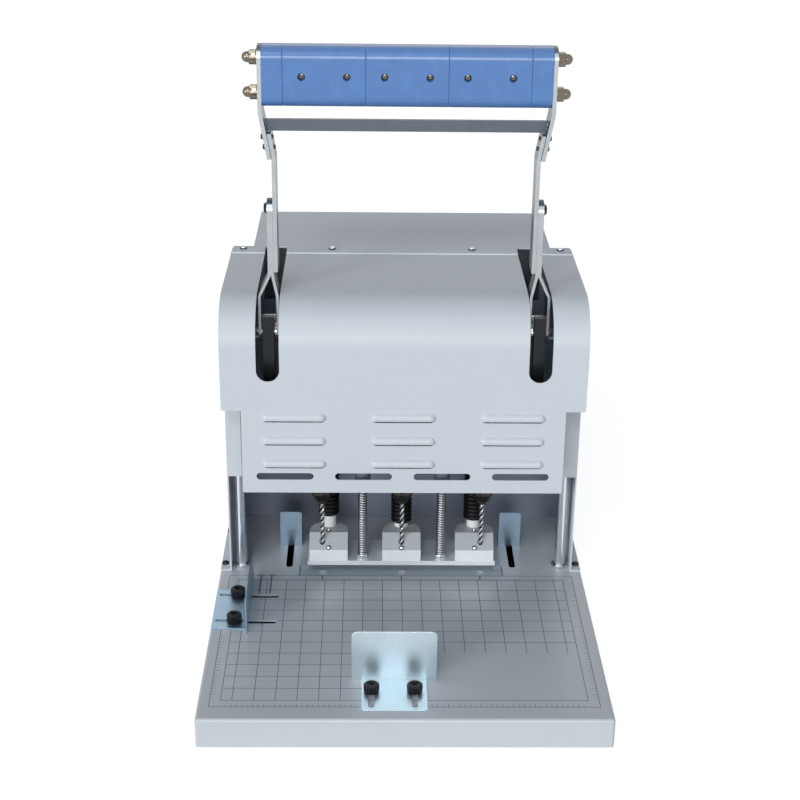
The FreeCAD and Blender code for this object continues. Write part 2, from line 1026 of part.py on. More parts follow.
def front_cover():
    height = "cover_rise - cover_low"
    outside = block(
        "cover_outside",
        "0",
        "(cover_back - cover_front) / 2",
        f"{TOP} + cover_low",
        "cover_width",
        "cover_front + cover_back",
        height,
    )
    front = -size("cover_front")
    crown = top() + size("cover_rise")
    outside = rounded(
        "cover_rolled",
        outside,
        size("cover_bend"),
        lambda edge: runs_along(edge, "X")
        and abs(middle(edge).y - front) < 0.01
        and abs(middle(edge).z - crown) < 0.01,
    )
    inside = block(
        "cover_inside",
        "0",
        "(cover_back - cover_front + cover_sheet) / 2 + 5",
        f"{TOP} + cover_low - 10",
        "cover_width - 2 * cover_sheet",
        "cover_front + cover_back - cover_sheet + 10",
        height + " - cover_sheet + 10",
    )
    sheet_size = size("cover_sheet")
    inside = rounded(
        "cover_inside_rolled",
        inside,
        size("cover_bend") - sheet_size,
        lambda edge: runs_along(edge, "X")
        and abs(middle(edge).y - front - sheet_size) < 0.01
        and abs(middle(edge).z - crown + sheet_size) < 0.01,
    )
    shell = cut("cover_shell", outside, inside)
    sheet_y = "-(cover_front - cover_sheet / 2)"
    apron = block(
        "cover_apron",
        "0",
        sheet_y,
        f"{TOP} + apron_low",
        "apron_width",
        "cover_sheet",
        "cover_low - apron_low + 8",
    )
    hoods = []
    cutters = arm_slot_cutters("cover_slot")
    axis_y = "-(cover_front + louvre_stand - louvre_radius)"
    for column in (-1, 0, 1):
        for line in (0, 1, 2):
            name = f"louvre_{column + 1}_{line}"
            place_x = across(column, "louvre_pitch")
            place_z = f"({TOP} + louvre_low + {line} * louvre_step)"
            lobe = capsule(name, place_x, axis_y, place_z, "louvre_radius", "louvre_length")
            front_half = block(
                name + "_front",
                place_x,
                "-(cover_front + louvre_radius)",
                f"{place_z} - 2",
                "louvre_length + 4",
                "2 * louvre_radius + 0.4 * cover_sheet",
                "louvre_radius + 4",
            )
            hoods.append(common(name + "_hood", lobe, front_half))
            cutters.append(
                capsule(
                    name + "_inside",
                    place_x,
                    axis_y,
                    place_z,
                    "louvre_radius - 0.8 * cover_sheet",
                    "louvre_length - 1.6 * cover_sheet",
                )
            )
    for number, factor in enumerate(("-1.5", "-0.5", "0.5", "1.5")):
        cutters.append(
            facing_slot(
                f"cover_vent_{number}",
                f"{factor} * vent_pitch",
                sheet_y,
                f"{TOP} + vent_rise",
                "vent_length",
                "vent_height",
                "6 * cover_sheet",
            )
        )
    for side in ("-", ""):
        for number, place_x in enumerate(STRIP_SCREWS_X):
            cutters.append(
                rod(
                    f"cover_hole{'_left' if side else '_right'}_{number}",
                    f"{side}{place_x}",
                    STRIP_SCREWS_Y,
                    f"{COVER_TOP} - 4 * cover_sheet",
                    SCREW_HOLE,
                    "8 * cover_sheet",
                )
            )
    whole = union("cover_with_louvres", shell, apron, *hoods)
    keep("front_cover", cut("front_cover", whole, *cutters))


def rear_cover():
    front = "(cover_back + die_gap)"
    outside = block(
        "rear_outside",
        "0",
        f"({front} + rear_back) / 2",
        TOP,
        "rear_width",
        f"rear_back - {front}",
        "cover_rise + rear_sheet",
    )
    crown = top() + size("cover_rise") + size("rear_sheet")
    back = size("rear_back")
    outside = rounded(
        "rear_bent",
        outside,
        size("rear_corner"),
        lambda edge: abs(middle(edge).y - back) < 0.01
        and (runs_along(edge, "Z") or middle(edge).z > crown - 0.01),
    )
    inside = block(
        "rear_inside",
        "0",
        f"({front} + rear_back) / 2 - rear_sheet / 2 - 5",
        f"{TOP} - 10",
        "rear_width - 2 * rear_sheet",
        f"rear_back - {front} - rear_sheet + 10",
        "cover_rise + 10",
    )
    shell = cut("rear_shell", outside, inside)
    strip = block(
        "rear_strip",
        "0",
        "(strip_front + cover_back + 1) / 2",
        COVER_TOP,
        "strip_width",
        "cover_back + 1 - strip_front",
        "rear_sheet",
    )
    feet = [
        block(
            f"rear_foot{'_left' if side else '_right'}",
            f"{side}(rear_width / 2 + 5)",
            "(side_back + rear_back) / 2",
            TOP,
            "12",
            "rear_back - side_back - 20",
            "rear_sheet",
        )
        for side in ("-", "")
    ]
    cutters = arm_slot_cutters("rear_slot")
    back_y = "rear_back - rear_sheet / 2"
    for side in ("-", ""):
        for line in range(7):
            cutters.append(
                facing_slot(
                    f"rear_vent{'_left' if side else '_right'}_{line}",
                    f"{side}70",
                    back_y,
                    f"{TOP} + vacuum_rise + 20 + {line} * rear_vent_step",
                    "rear_vent_length",
                    "rear_vent_height",
                    "6 * rear_sheet",
                )
            )
        for number, place_x in enumerate(STRIP_SCREWS_X):
            cutters.append(
                rod(
                    f"rear_strip_hole{'_left' if side else '_right'}_{number}",
                    f"{side}{place_x}",
                    STRIP_SCREWS_Y,
                    f"{COVER_TOP} - rear_sheet",
                    SCREW_HOLE,
                    "4 * rear_sheet",
                )
            )
        for number, place_y in enumerate(REAR_SCREWS_Y):
            cutters.append(
                rod(
                    f"rear_foot_hole{'_left' if side else '_right'}_{number}",
                    f"{side}{REAR_FOOT_X}",
                    place_y,
                    f"{TOP} - rear_sheet",
                    SCREW_HOLE,
                    "4 * rear_sheet",
                )
            )
    cutters.append(
        block(
            "drawer_opening",
            "0",
            back_y,
            f"{TOP} - drawer_gap",
            "drawer_width + 2 * drawer_gap",
            "8 * rear_sheet",
            "drawer_height + 3 * drawer_gap + 2",
        )
    )
    cutters.append(
        block(
            "inlet_opening",
            "-inlet_x",
            back_y,
            f"{TOP} + inlet_rise - hole_clearance",
            "inlet_width + 2 * hole_clearance",
            "8 * rear_sheet",
            "inlet_height + 2 * hole_clearance",
        )
    )
    whole = union("rear_folded", shell, strip, *feet)
    keep("rear_cover", cut("rear_cover", whole, *cutters))


def frame_screws():
    base = []
    number = 0
    for side in ("-", ""):
        for place_y in SIDE_SCREWS_Y:
            seat = (f"{side}{FOOT_SCREW_X}", place_y, f"{TOP} + side_sheet")
            base.append(screw(f"base_screw_{number}", seat, "-Z", "8"))
            number += 1
        for place_y in REAR_SCREWS_Y:
            seat = (f"{side}{REAR_FOOT_X}", place_y, f"{TOP} + rear_sheet")
            base.append(screw(f"base_screw_{number}", seat, "-Z", "8"))
            number += 1
        seat = (f"{side}(die_length / 2 - die_screw_inset)", "-die_back", TOP)
        base.append(screw(f"base_screw_{number}", seat, "-Z", "die_thickness - 0.5", high="0.6"))
        number += 1
    for place_x in PANEL_SCREWS_X:
        seat = (place_x, "panel_back + panel_flange / 2 + 1", f"{TOP} + side_sheet")
        base.append(screw(f"base_screw_{number}", seat, "-Z", "8"))
        number += 1
    for side, way in (("-", "-X"), ("", "+X")):
        for over, up in (("-", "-"), ("-", "+"), ("+", "-"), ("+", "+")):
            seat = (
                f"{side}({SIDE_INNER} - bearing_flange_thickness)",
                f"shaft_back {over} {BEARING_BOLT}",
                f"{SHAFT_Z} {up} {BEARING_BOLT}",
            )
            length = "bearing_flange_thickness + side_sheet - 0.1"
            base.append(screw(f"bearing_screw_{number}", seat, way, length))
            number += 1
    keep("frame_screws", group("frame_screws", *base))
    cover = []
    for side in ("-", ""):
        for place_x in STRIP_SCREWS_X:
            seat = (f"{side}{place_x}", STRIP_SCREWS_Y, f"{COVER_TOP} + rear_sheet")
            cover.append(screw(f"cover_screw_{len(cover)}", seat, "-Z", "8"))
    keep("cover_screws", group("cover_screws", *cover))


def shaft_bearings():
    bearings = []
    for side, way in (("-", "-X"), ("", "+X")):
        name = "left" if side else "right"
        start = f"{side}({SIDE_INNER} - bearing_length)"
        hub = rod(
            f"bearing_{name}_hub",
            start,
            "shaft_back",
            SHAFT_Z,
            "bearing_diameter / 2",
            "bearing_length",
            way,
        )
        flange = block(
            f"bearing_{name}_flange",
            f"{side}({SIDE_INNER} - bearing_flange_thickness / 2)",
            "shaft_back",
            f"{SHAFT_Z} - bearing_flange / 2",
            "bearing_flange_thickness",
            "bearing_flange",
            "bearing_flange",
        )
        bore = rod(
            f"bearing_{name}_bore",
            f"{side}({SIDE_INNER} - 2 * bearing_length)",
            "shaft_back",
            SHAFT_Z,
            "shaft_diameter / 2 + running_gap",
            "3 * bearing_length",
            way,
        )
        holes = [
            rod(
                f"bearing_{name}_hole_{number}",
                f"{side}({SIDE_INNER} - bearing_length)",
                f"shaft_back {over} {BEARING_BOLT}",
                f"{SHAFT_Z} {up} {BEARING_BOLT}",
                SCREW_HOLE,
                "2 * bearing_length",
                way,
            )
            for number, (over, up) in enumerate((("-", "-"), ("-", "+"), ("+", "-"), ("+", "+")))
        ]
        blank = union(f"bearing_{name}_blank", hub, flange)
        bearings.append(cut(f"bearing_{name}", blank, bore, *holes))
    keep("shaft_bearings", group("shaft_bearings", *bearings))


def gear_points(teeth, module, backlash):
    """Corners of a spur gear's outline about the origin, with a tooth on the first axis."""
    pressure = math.radians(20)
    pitch = teeth * module / 2
    base = pitch * math.cos(pressure)
    involute = math.tan(pressure) - pressure
    half = math.pi / (2 * teeth) - backlash / (2 * pitch)
    points = []
    for tooth in range(teeth):
        centre = 2 * math.pi * tooth / teeth
        flank = []
        for radius in (base, pitch * 1.01, pitch + module):
            angle = math.acos(min(1.0, base / radius))
            flank.append((radius, half + involute - (math.tan(angle) - angle)))
        root = (pitch - 1.25 * module, flank[0][1])
        side = [root] + flank
        points += [(radius, centre - turn) for radius, turn in side]
        points += [(radius, centre + turn) for radius, turn in reversed(side)]
    return [(r * math.cos(a), r * math.sin(a)) for r, a in points]


def handle_shaft():
    shaft = rod(
        "handle_shaft",
        "-shaft_length / 2",
        "shaft_back",
        SHAFT_Z,
        "shaft_diameter / 2",
        "shaft_length",
        "+X",
    )
    keep("handle_shaft", shaft)
    axis = Vector(0, size("shaft_back"), top() + size("shaft_rise"))
    width = size("pinion_width")
    pinions = []
    for side in (-1, 1):
        left = side * arm_middle() - width / 2
        corners = [
            Vector(left, axis.y - along, axis.z + up)
            for along, up in gear_points(PINION_TEETH, size("tooth_module"), BACKLASH)
        ]
        blank = Part.Face(Part.makePolygon(corners + corners[:1])).extrude(Vector(width, 0, 0))
        start = Vector(left - 1, axis.y, axis.z)
        bore = Part.makeCylinder(size("shaft_diameter") / 2, width + 2, start, Vector(1, 0, 0))
        pinions.append(blank.cut(bore))
    keep("pinions", shaped("pinions", Part.makeCompound(pinions)))


def racks():
    """Upright racks with one gap level with the handle shaft when the handle stands upright."""
    module = size("tooth_module")
    pitch = math.pi * module
    line_y = size("shaft_back") - PINION_TEETH * module / 2
    level = top() + size("shaft_rise")
    tip = line_y + module - 0.1
    root = line_y - 1.25 * module
    back = root - size("rack_thickness")
    lean = math.tan(math.radians(20))
    half_tip = (pitch / 2 - BACKLASH) / 2 - lean * module
    half_root = (pitch / 2 - BACKLASH) / 2 + lean * 1.25 * module
    low = top() + size("beam_rise") + size("beam_height")
    first = -5
    last = 5
    profile = [(back, low), (root, low)]
    for number in range(first, last):
        centre = level + (number + 0.5) * pitch
        profile += [
            (root, centre - half_root),
            (tip, centre - half_tip),
            (tip, centre + half_tip),
            (root, centre + half_root),
        ]
    high = level + last * pitch
    profile += [(root, high), (back, high)]
    width = size("pinion_width")
    pieces = []
    for side in (-1, 1):
        left = side * arm_middle() - width / 2
        corners = [Vector(left, y, z) for y, z in profile]
        pieces.append(Part.Face(Part.makePolygon(corners + corners[:1])).extrude(Vector(width, 0, 0)))
    keep("racks", shaped("racks", Part.makeCompound(pieces)))


def strip_shape(name, side_low, side_high, width):
    """An upright round-ended strip seen from the side, to trim a bent strip with."""
    z_low = f"{TOP} + {side_low}"
    span = f"({side_high}) - ({side_low})"
    flat = block(name + "_flat", "-arm_x", "shaft_back", z_low, "60", width, span)
    ends = [
        rod(f"{name}_end_{i}", "-arm_x - 30", "shaft_back", z, f"({width}) / 2", "60", "+X")
        for i, z in enumerate((z_low, f"{TOP} + {side_high}"))
    ]
    return union(name, flat, *ends)


def lever_forks():
    """Two bent strips a side that straddle the pinion and carry the arm above it."""
    joggle_low = "arm_low - 26"
    joggle_high = "arm_low - 4"
    meet = "(arm_inner_x + arm_thickness)"
    inner = outline(
        "fork_inner",
        "XZ",
        [
            ("-fork_inner_x", "shaft_rise - 20"),
            ("-fork_inner_x", joggle_low),
            (f"-{meet}", joggle_high),
            (f"-{meet}", "fork_rise"),
            (f"-{meet} - fork_sheet", "fork_rise"),
            (f"-{meet} - fork_sheet", joggle_high),
            ("-fork_inner_x - fork_sheet", joggle_low),
            ("-fork_inner_x - fork_sheet", "shaft_rise - 20"),
        ],
        "2 * fork_width",
    )
    outer_meet = f"({meet} + fork_sheet)"
    outer = outline(
        "fork_outer",
        "XZ",
        [
            ("-fork_outer_x", "shaft_rise - 20"),
            ("-fork_outer_x", joggle_low),
            (f"-{outer_meet}", joggle_high),
            (f"-{outer_meet}", "fork_rise"),
            (f"-{outer_meet} - fork_sheet", "fork_rise"),
            (f"-{outer_meet} - fork_sheet", joggle_high),
            ("-fork_outer_x - fork_sheet", joggle_low),
            ("-fork_outer_x - fork_sheet", "shaft_rise - 20"),
        ],
        "2 * fork_width",
    )
    legs = []
    for name, leg in (("inner", inner), ("outer", outer)):
        place(leg, "0", "shaft_back", TOP)
        trimmer = strip_shape(
            f"fork_{name}_trim", "shaft_rise", "(fork_rise - fork_width / 2)", "fork_width"
        )
        eye = rod(
            f"fork_{name}_eye",
            "-arm_x - 30",
            "shaft_back",
            SHAFT_Z,
            "shaft_diameter / 2 + 3",
            "60",
            "+X",
        )
        shaft_hole = rod(
            f"fork_{name}_hole", "-arm_x - 30", "shaft_back", SHAFT_Z, "shaft_diameter / 2", "60", "+X"
        )
        bolt_hole = rod(
            f"fork_{name}_bolt_hole",
            "-arm_x - 30",
            "shaft_back",
            f"{TOP} + fork_bolt_rise",
            "fork_bolt / 2 + hole_clearance",
            "60",
            "+X",
        )
        form = union(f"fork_{name}_form", trimmer, eye)
        shape = common(f"fork_{name}_strip", leg, form)
        legs.append(cut(f"fork_{name}_left", shape, shaft_hole, bolt_hole))
    others = [mirrored(f"fork_{i}_right", leg) for i, leg in enumerate(legs)]
    keep("lever_forks", group("lever_forks", *legs, *others))


ARM_SLOPE = "((yoke_x - arm_inner_x - arm_thickness) / (yoke_bend_rise - yoke_low))"
LAP_BOLTS = ("arm_lap_rise - 5", "arm_lap_rise - 15")


def handle_arms():
    """The lower arms, and the yoke that carries the grip and overlaps them outside."""
    outer = "(arm_inner_x + arm_thickness)"
    lap_x = f"({ARM_SLOPE} * (arm_lap_rise - arm_bend_rise))"
    arm = outline(
        "arm_bent",
        "XZ",
        [
            ("-arm_inner_x", "arm_low"),
            ("-arm_inner_x", "arm_bend_rise"),
            (f"-arm_inner_x - {lap_x}", "arm_lap_rise"),
            (f"-{outer} - {lap_x}", "arm_lap_rise"),
            (f"-{outer}", "arm_bend_rise"),
            (f"-{outer}", "arm_low"),
        ],
        "arm_width",
    )
    place(arm, "0", "shaft_back", TOP)
    hole = rod(
        "arm_bolt_hole",
        "-arm_x - 30",
        "shaft_back",
        f"{TOP} + fork_bolt_rise",
        "fork_bolt / 2 + hole_clearance",
        "60",
        "+X",
    )
    laps = [
        rod(
            f"lap_hole_{i}",
            "-arm_x - 30",
            "shaft_back",
            f"{TOP} + {rise}",
            "lap_bolt / 2 + hole_clearance",
            "60",
            "+X",
        )
        for i, rise in enumerate(LAP_BOLTS)
    ]
    left = cut("arm_left", arm, hole, *laps)
    keep("handle_arms", group("handle_arms", left, mirrored("arm_right", left)))

    bend = outline(
        "yoke_bent",
        "XZ",
        [
            (f"-{outer}", "yoke_low"),
            ("-yoke_x", "yoke_bend_rise"),
            ("-yoke_x", "grip_rise + grip_height"),
            ("-yoke_x - arm_thickness", "grip_rise + grip_height"),
            ("-yoke_x - arm_thickness", "yoke_bend_rise"),
            (f"-{outer} - arm_thickness", "yoke_low"),
        ],
        "yoke_width",
    )
    place(bend, "0", "shaft_back", TOP)
    doc.recompute()
    crest = top() + size("grip_rise") + size("grip_height")
    bend = rounded(
        "yoke_rounded",
        bend,
        size("grip_round"),
        lambda edge: runs_along(edge, "X") and middle(edge).z > crest - 0.01,
    )
    rods = [
        rod(
            f"yoke_rod_hole_{i}",
            "-yoke_x - 20",
            "shaft_back",
            f"{GRIP_Z} + grip_height / 2 {sign} grip_rod_pitch / 2",
            "grip_rod / 2 + hole_clearance",
            "40",
            "+X",
        )
        for i, sign in enumerate("-+")
    ]
    lap_holes = [
        rod(
            f"yoke_lap_hole_{i}",
            "-arm_x - 30",
            "shaft_back",
            f"{TOP} + {rise}",
            "lap_bolt / 2 + hole_clearance",
            "60",
            "+X",
        )
        for i, rise in enumerate(LAP_BOLTS)
    ]
    upper = cut("yoke_left", bend, *rods, *lap_holes)
    bar = block(
        "cross_bar",
        "0",
        "shaft_back",
        f"{TOP} + bar_rise",
        f"2 * ({outer} + {ARM_SLOPE} * (bar_rise + bar_height - yoke_low) + 1)",
        "bar_thickness",
        "bar_height",
    )
    keep("handle_yoke", union("handle_yoke", upper, mirrored("yoke_right", upper), bar))


def arm_bolts():
    bolts = []
    for side, way in (("-", "+X"), ("", "-X")):
        name = "left" if side else "right"
        outside = "(arm_inner_x + arm_thickness + 2 * fork_sheet)"
        seat = (f"{side}{outside}", "shaft_back", f"{TOP} + fork_bolt_rise")
        bolts.append(
            screw(
                f"fork_bolt_{name}",
                seat,
                way,
                "2 * fork_sheet + arm_thickness",
                shank="fork_bolt",
                head="fork_bolt_head",
                high="fork_bolt_head / 4",
            )
        )
        for number, rise in enumerate(LAP_BOLTS):
            face = f"(arm_inner_x + 2 * arm_thickness + {ARM_SLOPE} * ({rise} - yoke_low) + 0.7)"
            seat = (f"{side}{face}", "shaft_back", f"{TOP} + {rise}")
            bolts.append(
                screw(
                    f"lap_bolt_{name}_{number}",
                    seat,
                    way,
                    "2 * arm_thickness + 2",
                    shank="lap_bolt",
                    head="lap_bolt_head",
                    high="lap_bolt_head * 0.37",
                )
            )
    keep("arm_bolts", group("arm_bolts", *bolts))


def grip_piece(name, x_low, length, screws_at):
    """One moulded length of the grip, with rounded edges, rod bores and screw wells."""
    bar = block(
        name + "_blank",
        f"({x_low}) + ({length}) / 2",
        "shaft_back",
        GRIP_Z,
        length,
        "grip_depth",
        "grip_height",
    )
    bar = rounded(name + "_rolled", bar, size("grip_round"), lambda edge: runs_along(edge, "X"))
    bar = rounded(
        name + "_eased",
        bar,
        size("grip_seam"),
        lambda edge: not runs_along(edge, "X"),
    )
    tools = [
        rod(
            f"{name}_bore_{i}",
            f"({x_low}) - 1",
            "shaft_back",
            f"{GRIP_Z} + grip_height / 2 {sign} grip_rod_pitch / 2",
            "grip_rod / 2 + hole_clearance",
            f"({length}) + 2",
            "+X",
        )
        for i, sign in enumerate("-+")
    ]
    for number, place_x in enumerate(screws_at):
        tools.append(
            rod(
                f"{name}_well_{number}",
                place_x,
                "shaft_back - grip_depth / 2 - 1",
                f"{GRIP_Z} + grip_height / 2 + 1",
                "grip_well / 2",
                "6",
                "+Y",
            )
        )
    return cut(name, bar, *tools)


def grip():
    segment = f"((grip_length - 2 * grip_cap) / {GRIP_SEGMENTS})"
    start = "(-grip_length / 2 + grip_cap)"
    pieces = []
    screws = []
    for number in range(GRIP_SEGMENTS):
        low = f"({start} + {number} * {segment})"
        wells = [f"({low} + {segment} / 2 {sign} grip_screw_pitch / 2)" for sign in "-+"]
        pieces.append(grip_piece(f"grip_segment_{number}", low, segment, wells))
        for well in wells:
            seat = (well, "shaft_back - grip_depth / 2 + 4", f"{GRIP_Z} + grip_height / 2 + 1")
            stem = rod(f"grip_screw_{len(screws)}", seat[0], seat[1], seat[2], "grip_screw / 2", "1", "+Y")
            screws.append(stem)
    keep("grip_segments", group("grip_segments", *pieces))
    caps = [
        grip_piece("grip_cap_left", "-grip_length / 2", "grip_cap", []),
        grip_piece("grip_cap_right", "grip_length / 2 - grip_cap", "grip_cap", []),
    ]
    keep("grip_end_caps", group("grip_end_caps", *caps))
    keep("grip_screws", group("grip_screws", *screws))

    reach = "(yoke_x + arm_thickness)"
    rods = []
    nuts = []
    for i, sign in enumerate("-+"):
        level = f"{GRIP_Z} + grip_height / 2 {sign} grip_rod_pitch / 2"
        length = f"2 * ({reach} + acorn_length - 4)"
        rods.append(
            rod(f"grip_rod_{i}", f"-({length}) / 2", "shaft_back", level, "grip_rod / 2", length, "+X")
        )
        for side, way in (("-", "-X"), ("", "+X")):
            name = f"acorn{'_left' if side else '_right'}_{i}"
            washer = rod(
                name + "_flange", f"{side}{reach}", "shaft_back", level, "nut_flats * 0.62", "1.4", way
            )
            flats = hexagon(
                name + "_flats", f"{side}{reach}", "shaft_back", level, "nut_flats", "7.5", way
            )
            neck = rod(
                name + "_neck",
                f"{side}({reach} + 7)",
                "shaft_back",
                level,
                "nut_flats * 0.42",
                "acorn_length - 11",
                way,
            )
            dome = cone(
                name + "_dome",
                f"{side}({reach} + acorn_length - 4)",
                "shaft_back",
                level,
                "nut_flats * 0.42",
                "nut_flats * 0.2",
                "4",
                way,
            )
            bore = rod(
                name + "_bore",
                f"{side}({reach} - 1)",
                "shaft_back",
                level,
                "grip_rod / 2 + hole_clearance / 2",
                "acorn_length - 3 + hole_clearance",
                way,
            )
            blank = union(name + "_blank", washer, flats, neck, dome)
            nuts.append(cut(name, blank, bore))
    keep("grip_rods", group("grip_rods", *rods))
    keep("acorn_nuts", group("acorn_nuts", *nuts))


def carriage():
    depth_middle = f"({DRILL_Y})"
    bar = block(
        "beam_bar", "0", depth_middle, BEAM_Z, "2 * beam_half", "beam_depth", "beam_height"
    )
    ears = []
    bushes = []
    tools = []
    lug_low = f"({BEAM_Z} - (lug_height - beam_height) / 2)"
    for side in ("-", ""):
        name = "left" if side else "right"
        ears.append(
            block(
                f"beam_ear_{name}",
                f"{side}((beam_half + column_x) / 2 - 5)",
                "(lug_diameter / 2 - 11) / 2 - 1",
                BEAM_Z,
                "column_x - beam_half + 10",
                "lug_diameter - 4",
                "beam_height",
            )
        )
        ears.append(
            rod(
                f"beam_lug_{name}", f"{side}column_x", "0", lug_low, "lug_diameter / 2", "lug_height"
            )
        )
        tools.append(
            rod(
                f"beam_lug_bore_{name}",
                f"{side}column_x",
                "0",
                f"{lug_low} - 1",
                "bush_diameter / 2",
                "lug_height + 2",
            )
        )
        bush = rod(
            f"bush_{name}_blank", f"{side}column_x", "0", lug_low, "bush_diameter / 2", "lug_height"
        )
        bore = rod(
            f"bush_{name}_bore",
            f"{side}column_x",
            "0",
            f"{lug_low} - 1",
            "column_diameter / 2 + running_gap",
            "lug_height + 2",
        )
        bushes.append(cut(f"bush_{name}", bush, bore))
        tools.append(
            rod(
                f"beam_rod_bore_{name}",
                f"{side}rod_x",
                DRILL_Y,
                f"{BEAM_Z} - cup_length - 1",
                "rod_diameter / 2 + running_gap",
                "cup_length + beam_height + 2",
            )
        )
        ears.append(
            rod(
                f"spring_cup_{name}",
                f"{side}rod_x",
                DRILL_Y,
                f"{BEAM_Z} - cup_length",
                "cup_diameter / 2",
                "cup_length + 1",
            )
        )
    for side, index in STATIONS:
        tools.append(
            rod(
                f"beam_housing_bore_{side}",
                across(index, "drill_pitch"),
                DRILL_Y,
                f"{BEAM_Z} - 1",
                "housing_diameter / 2",
                "beam_height + 2",
            )
        )
    web = block(
        "beam_web",
        "0",
        "housing_diameter / 2 - drill_forward + web_sheet / 2 + hole_clearance",
        f"{BEAM_Z} - web_height",
        "2 * (drill_pitch + web_reach)",
        "web_sheet",
        "web_height + 1",
    )
    shelf_z = f"({TOP} + belt_rise + belt_width + 2 * pulley_flange + 4)"
    rear = "(beam_depth / 2 - drill_forward)"
    upright = block(
        "shelf_upright",
        "0",
        f"{rear} + shelf_thickness / 2",
        BEAM_Z,
        "shelf_width * 0.7",
        "shelf_thickness",
        f"{shelf_z} + shelf_thickness - {BEAM_Z}",
    )
    shelf = block(
        "motor_shelf",
        "0",
        f"({rear} + motor_back + motor_diameter / 2) / 2",
        shelf_z,
        "shelf_width",
        f"motor_back + motor_diameter / 2 - {rear}",
        "shelf_thickness",
    )
    tools.append(
        rod(
            "motor_shaft_hole",
            "0",
            "motor_back",
            f"{shelf_z} - 1",
            "spindle_diameter / 2 + 3",
            "shelf_thickness + 2",
        )
    )
    blank = union("beam_blank", bar, web, *ears, upright, shelf)
    keep("carriage_beam", cut("carriage_beam", blank, *tools))
    keep("slide_bushes", group("slide_bushes", *bushes))

    housings = []
    for side, index in STATIONS:
        place_x = across(index, "drill_pitch")
        sleeve = rod(
            f"housing_{side}_sleeve",
            place_x,
            DRILL_Y,
            f"{TOP} + housing_rise",
            "housing_diameter / 2",
            "housing_height",
        )
        bore = rod(
            f"housing_{side}_bore",
            place_x,
            DRILL_Y,
            f"{TOP} + housing_rise - 1",
            "spindle_diameter / 2 + running_gap",
            "housing_height + 2",
        )
        housings.append(cut(f"housing_{side}", sleeve, bore))
    keep("spindle_housings", group("spindle_housings", *housings))

    motor_z = f"({shelf_z} + shelf_thickness)"
    can = rod("motor_can", "0", "motor_back", motor_z, "motor_diameter / 2", "motor_height - 8")
    cap = cone(
        "motor_cap",
        "0",
        "motor_back",
        f"{motor_z} + motor_height - 8",
        "motor_diameter / 2 - 2",
        "motor_diameter / 2 - 8",
        "8",
    )
    well = rod(
        "motor_well",
        "0",
        "motor_back",
        f"{motor_z} - 1",
        "spindle_diameter / 2 + running_gap",
        "21",
    )
    keep("drive_motor", cut("drive_motor", union("motor_body", can, cap), well))

    shaft = rod(
        "motor_shaft",
        "0",
        "motor_back",
        f"{TOP} + belt_rise",
        "spindle_diameter / 2",
        f"{motor_z} + 18 - {TOP} - belt_rise",
    )
    wheel = pulley("motor_wheel", "0", "motor_back")
    keep("motor_pulley", union("motor_pulley", shaft, wheel))


def pulley(name, x, y):
    """A flanged wheel that the drive belt runs on."""
    low = f"({TOP} + belt_rise)"
    rim = "pulley_radius + belt_thickness + 0.8"
    hub = rod(name + "_hub", x, y, low, "pulley_radius", "belt_width + 2 * pulley_flange + 1")
    lower = rod(name + "_lower", x, y, low, rim, "pulley_flange")
    upper = rod(
        name + "_upper", x, y, f"{low} + belt_width + pulley_flange + 1", rim, "pulley_flange"
    )
    return union(name, hub, lower, upper)


def drive_belt():
    """One closed belt round the outer spindles and the motor, touching the middle one."""
    inner = size("pulley_radius") + size("belt_gap")
    outer = inner + size("belt_thickness")
    span = size("drill_pitch")
    front = -size("drill_forward")
    back = size("motor_back")
    low = top() + size("belt_rise") + size("pulley_flange") + 0.5

    def loop(radius):
        run = Vector(-span, back - front, 0)
        normal = Vector(run.y, -run.x, 0).normalize() * radius
        right = Vector(span, front, low)
        rear = Vector(0, back, low)
        left = Vector(-span, front, low)
        flip = Vector(-normal.x, normal.y, 0)
        down = Vector(0, -radius, 0)
        lean = (normal + down).normalize() * radius
        lean_left = Vector(-lean.x, lean.y, 0)
        edges = [
            Part.LineSegment(left + down, right + down),
            Part.Arc(right + down, right + lean, right + normal),
            Part.LineSegment(right + normal, rear + normal),
            Part.Arc(rear + normal, rear + Vector(0, radius, 0), rear + flip),
            Part.LineSegment(rear + flip, left + flip),
            Part.Arc(left + flip, left + lean_left, left + down),
        ]
        return Part.Face(Part.Wire([edge.toShape() for edge in edges]))

    ring = loop(outer).cut(loop(inner))
    keep("drive_belt", shaped("drive_belt", ring.extrude(Vector(0, 0, size("belt_width")))))


def twisted_bit(name, x):
    """A two-flute twist drill: a plain shank in the chuck and flutes down to a pointed tip."""
    radius = size("bit_diameter") / 2
    core = 0.5 * radius
    section = []
    for half_turn in (0, 180):
        for angle, reach in ((-30, radius), (30, radius), (62, core), (118, core)):
            section.append((reach, math.radians(angle + half_turn)))
    low = top() + size("bit_tip_rise")
    nose = top() + size("chuck_nose_rise")
    y = -size("drill_forward")
    point = radius * 0.7
    step = size("bit_twist") / 8
    count = max(2, round((nose - low - point) / step))
    levels = [low] + [low + point + (nose - low - point) * i / count for i in range(count + 1)]
    wires = []
    for number, level in enumerate(levels):
        turn = 2 * math.pi * (level - low) / size("bit_twist")
        scale = 0.12 if number == 0 else 1.0
        corners = [
            Vector(x + scale * r * math.cos(a + turn), y + scale * r * math.sin(a + turn), level)
            for r, a in section
        ]
        wires.append(Part.makePolygon(corners + corners[:1]))
    fluted = Part.makeLoft(wires, True, True)
    shank = Part.makeCylinder(radius, size("chuck_length") - 12, Vector(x, y, nose))
    return shaped(name, fluted.fuse(shank))


